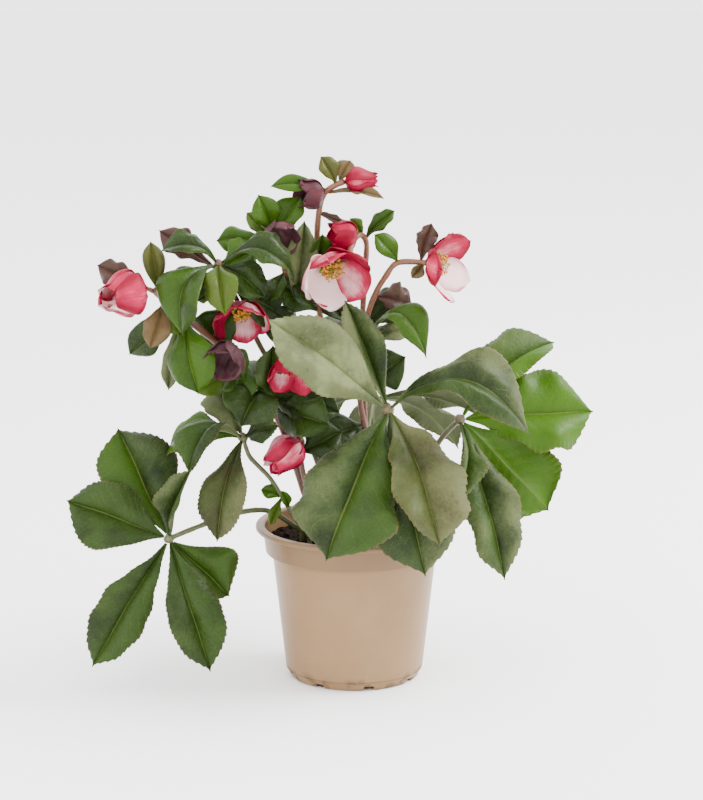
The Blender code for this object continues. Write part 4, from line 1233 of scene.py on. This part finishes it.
class HELLEBORE_OT_leaflets(bpy.types.Operator):
    """Leaflets: each blade surface follows the midrib and margins of its CAD node"""

    bl_idname = "hellebore.leaflets"
    bl_label = "Leaflets"

    def execute(self, context):
        sizes = context.scene.hellebore_leaf
        for seed, name in enumerate(n for n in frame["nodes"] if "leaflet" in n):
            shape = Shape()
            blade_surface(shape, blade_lines(name), HABITS.get(name, Habit()), seed, sizes.teeth, sizes.tooth, 0.20,
                          sizes.thickness, ACROSS)
            shape.finish(f"{name}_blade", finish_set(context)["leaf"], FINISH_OF[name], name)
        return {"FINISHED"}


BRACT_SEED, SPRIG_SEED = 40, 80


class HELLEBORE_OT_bracts(bpy.types.Operator):
    """Bracts: blades on the CAD bracts, and the small ones of the table, which start on the skin of their stem"""

    bl_idname = "hellebore.bracts"
    bl_label = "Bracts"

    def execute(self, context):
        sizes = context.scene.hellebore_leaf
        finishes = finish_set(context)["bract"]
        for seed, name in enumerate(n for n in frame["nodes"] if "bract" in n):
            shape = Shape()
            blade_surface(shape, blade_lines(name), HABITS.get(name, Habit()), BRACT_SEED + seed, 14,
                          sizes.tooth * 0.3, 0.12, sizes.thickness, ACROSS)
            shape.finish(f"{name}_blade", finishes, FINISH_OF[name], name)
        for seed, (name, sprig) in enumerate(SPRIGS.items()):
            centre, heading, radius = on_stem(sprig.stem, sprig.share)
            reach = np.array(sprig.reach) * MM
            away = unit(reach - heading * (reach @ heading))
            seat = centre + away * radius * 0.7
            lines = drawn_lines(seat, reach, sprig.width * MM, sprig.arch * MM, sprig.fold, sprig.face, sprig.widest)
            shape = Shape()
            blade_surface(shape, lines, sprig.habit, SPRIG_SEED + seed, 9, sizes.tooth * 0.12, 0.04,
                          sizes.thickness * 0.8, ACROSS[::2])
            shape.finish(name, finishes, "bract_green")
        return {"FINISHED"}


class HELLEBORE_OT_flowers(bpy.types.Operator):
    """Flowers: five sepals on each CAD cup's own curve, and three small ones that the frame leaves out"""

    bl_idname = "hellebore.flowers"
    bl_label = "Flowers"

    def execute(self, context):
        sizes = context.scene.hellebore_flower
        finishes = finish_set(context)["sepal"]
        for name, bloom in BLOOMS.items():
            seat, axis, outwards, curve = cup_lines(name)
            whole_flower(name, seat, axis, outwards, curve, bloom, sizes, FINISH_OF[name], finishes, [name])
        for name, cup in CUPS.items():
            centre, _, radius = on_stem(cup.stem, cup.share)
            axis = unit(np.array(cup.axis))
            first = unit(np.cross(axis, [0.2, 0.3, 1.0]))
            whole_flower(name, centre + axis * radius, axis, star(first, np.cross(axis, first)),
                         drawn_curve(cup.length, cup.lean), cup.bloom, sizes,
                         "sepal_faded" if cup.bloom.faded else "sepal_pink", finishes, [])
        return {"FINISHED"}


class HELLEBORE_OT_stage(bpy.types.Operator):
    """Stage: pale floor, white surroundings, two soft lamps and the camera"""

    bl_idname = "hellebore.stage"
    bl_label = "Stage"

    def execute(self, context):
        sizes = context.scene.hellebore_stage
        mesh = bpy.data.meshes.new("studio_floor")
        side = 6.0
        mesh.from_pydata([(-side, -side, 0), (side, -side, 0), (side, side, 0), (-side, side, 0)], [], [(0, 1, 2, 3)])
        material = bpy.data.materials.new("floor_pale")
        material.use_nodes = True
        skin = material.node_tree.nodes["Principled BSDF"].inputs
        skin["Base Color"].default_value, skin["Roughness"].default_value = linear(sizes.floor), 0.9
        mesh.materials.append(material)
        floor = bpy.data.objects.new("studio_floor", mesh)
        context.scene.collection.objects.link(floor)
        world = bpy.data.worlds.new("studio_white")
        world.use_nodes = True
        sky = world.node_tree.nodes["Background"].inputs
        sky["Color"].default_value, sky["Strength"].default_value = (1, 1, 1, 1), sizes.sky
        context.scene.world = world
        for name, place, power, size in (("key_lamp", (1.7, 0.1, 1.7), sizes.key, 1.0),
                                         ("fill_lamp", (-1.5, -1.2, 0.9), sizes.fill, 1.4)):
            lamp = bpy.data.lights.new(name, "AREA")
            lamp.energy, lamp.size = power, size
            holder = bpy.data.objects.new(name, lamp)
            aim = np.array([0.0, 0.0, 0.2]) - np.array(place)
            pan, tilt = math.atan2(-aim[0], aim[1]), math.atan2(math.hypot(aim[0], aim[1]), -aim[2])
            holder.location, holder.rotation_euler = place, (tilt, 0, pan)
            context.scene.collection.objects.link(holder)
        camera = bpy.data.cameras.new("studio_camera")
        camera.lens, camera.sensor_width = sizes.lens, 36.0
        holder = bpy.data.objects.new("studio_camera", camera)
        holder.location, holder.rotation_euler = (-0.00215, -2.22948, 0.69198), (math.pi / 2 - sizes.pitch, 0, 0)
        context.scene.collection.objects.link(holder)
        context.scene.camera = holder
        return {"FINISHED"}


class HELLEBORE_PT_panel(bpy.types.Panel):
    """Lists the steps in the order in which they are built, and the sizes and colours of each group"""

    bl_idname = "HELLEBORE_PT_panel"
    bl_label = "Hellebore"
    bl_space_type = "VIEW_3D"
    bl_region_type = "UI"
    bl_category = "Hellebore"

    def draw(self, context):
        for operator in OPERATORS:
            self.layout.operator(operator.bl_idname)
        for name, group in SETTINGS.items():
            box = self.layout.box()
            for field in group.__annotations__:
                box.prop(getattr(context.scene, name), field)


SETTINGS = {
    "hellebore_pot": PotSettings,
    "hellebore_soil": SoilSettings,
    "hellebore_leaf": LeafSettings,
    "hellebore_stalk": StalkSettings,
    "hellebore_flower": FlowerSettings,
    "hellebore_stage": StageSettings,
}
OPERATORS = (HELLEBORE_OT_stage, HELLEBORE_OT_pot, HELLEBORE_OT_soil, HELLEBORE_OT_stalks, HELLEBORE_OT_leaflets,
             HELLEBORE_OT_bracts, HELLEBORE_OT_flowers)


def register():
    """Registers the groups of settings on the scene, the operators and the panel."""
    for name, group in SETTINGS.items():
        bpy.utils.register_class(group)
        setattr(bpy.types.Scene, name, PointerProperty(type=group))
    for item in (*OPERATORS, HELLEBORE_PT_panel):
        bpy.utils.register_class(item)


def unregister():
    """Takes everything off again, last one first."""
    for item in (HELLEBORE_PT_panel, *reversed(OPERATORS)):
        bpy.utils.unregister_class(item)
    for name, group in SETTINGS.items():
        delattr(bpy.types.Scene, name)
        bpy.utils.unregister_class(group)


def main():
    """Builds the whole plant in order."""
    register()
    for operator in OPERATORS:
        group, name = operator.bl_idname.split(".")
        getattr(getattr(bpy.ops, group), name)()


if __name__ == "__main__":
    main()
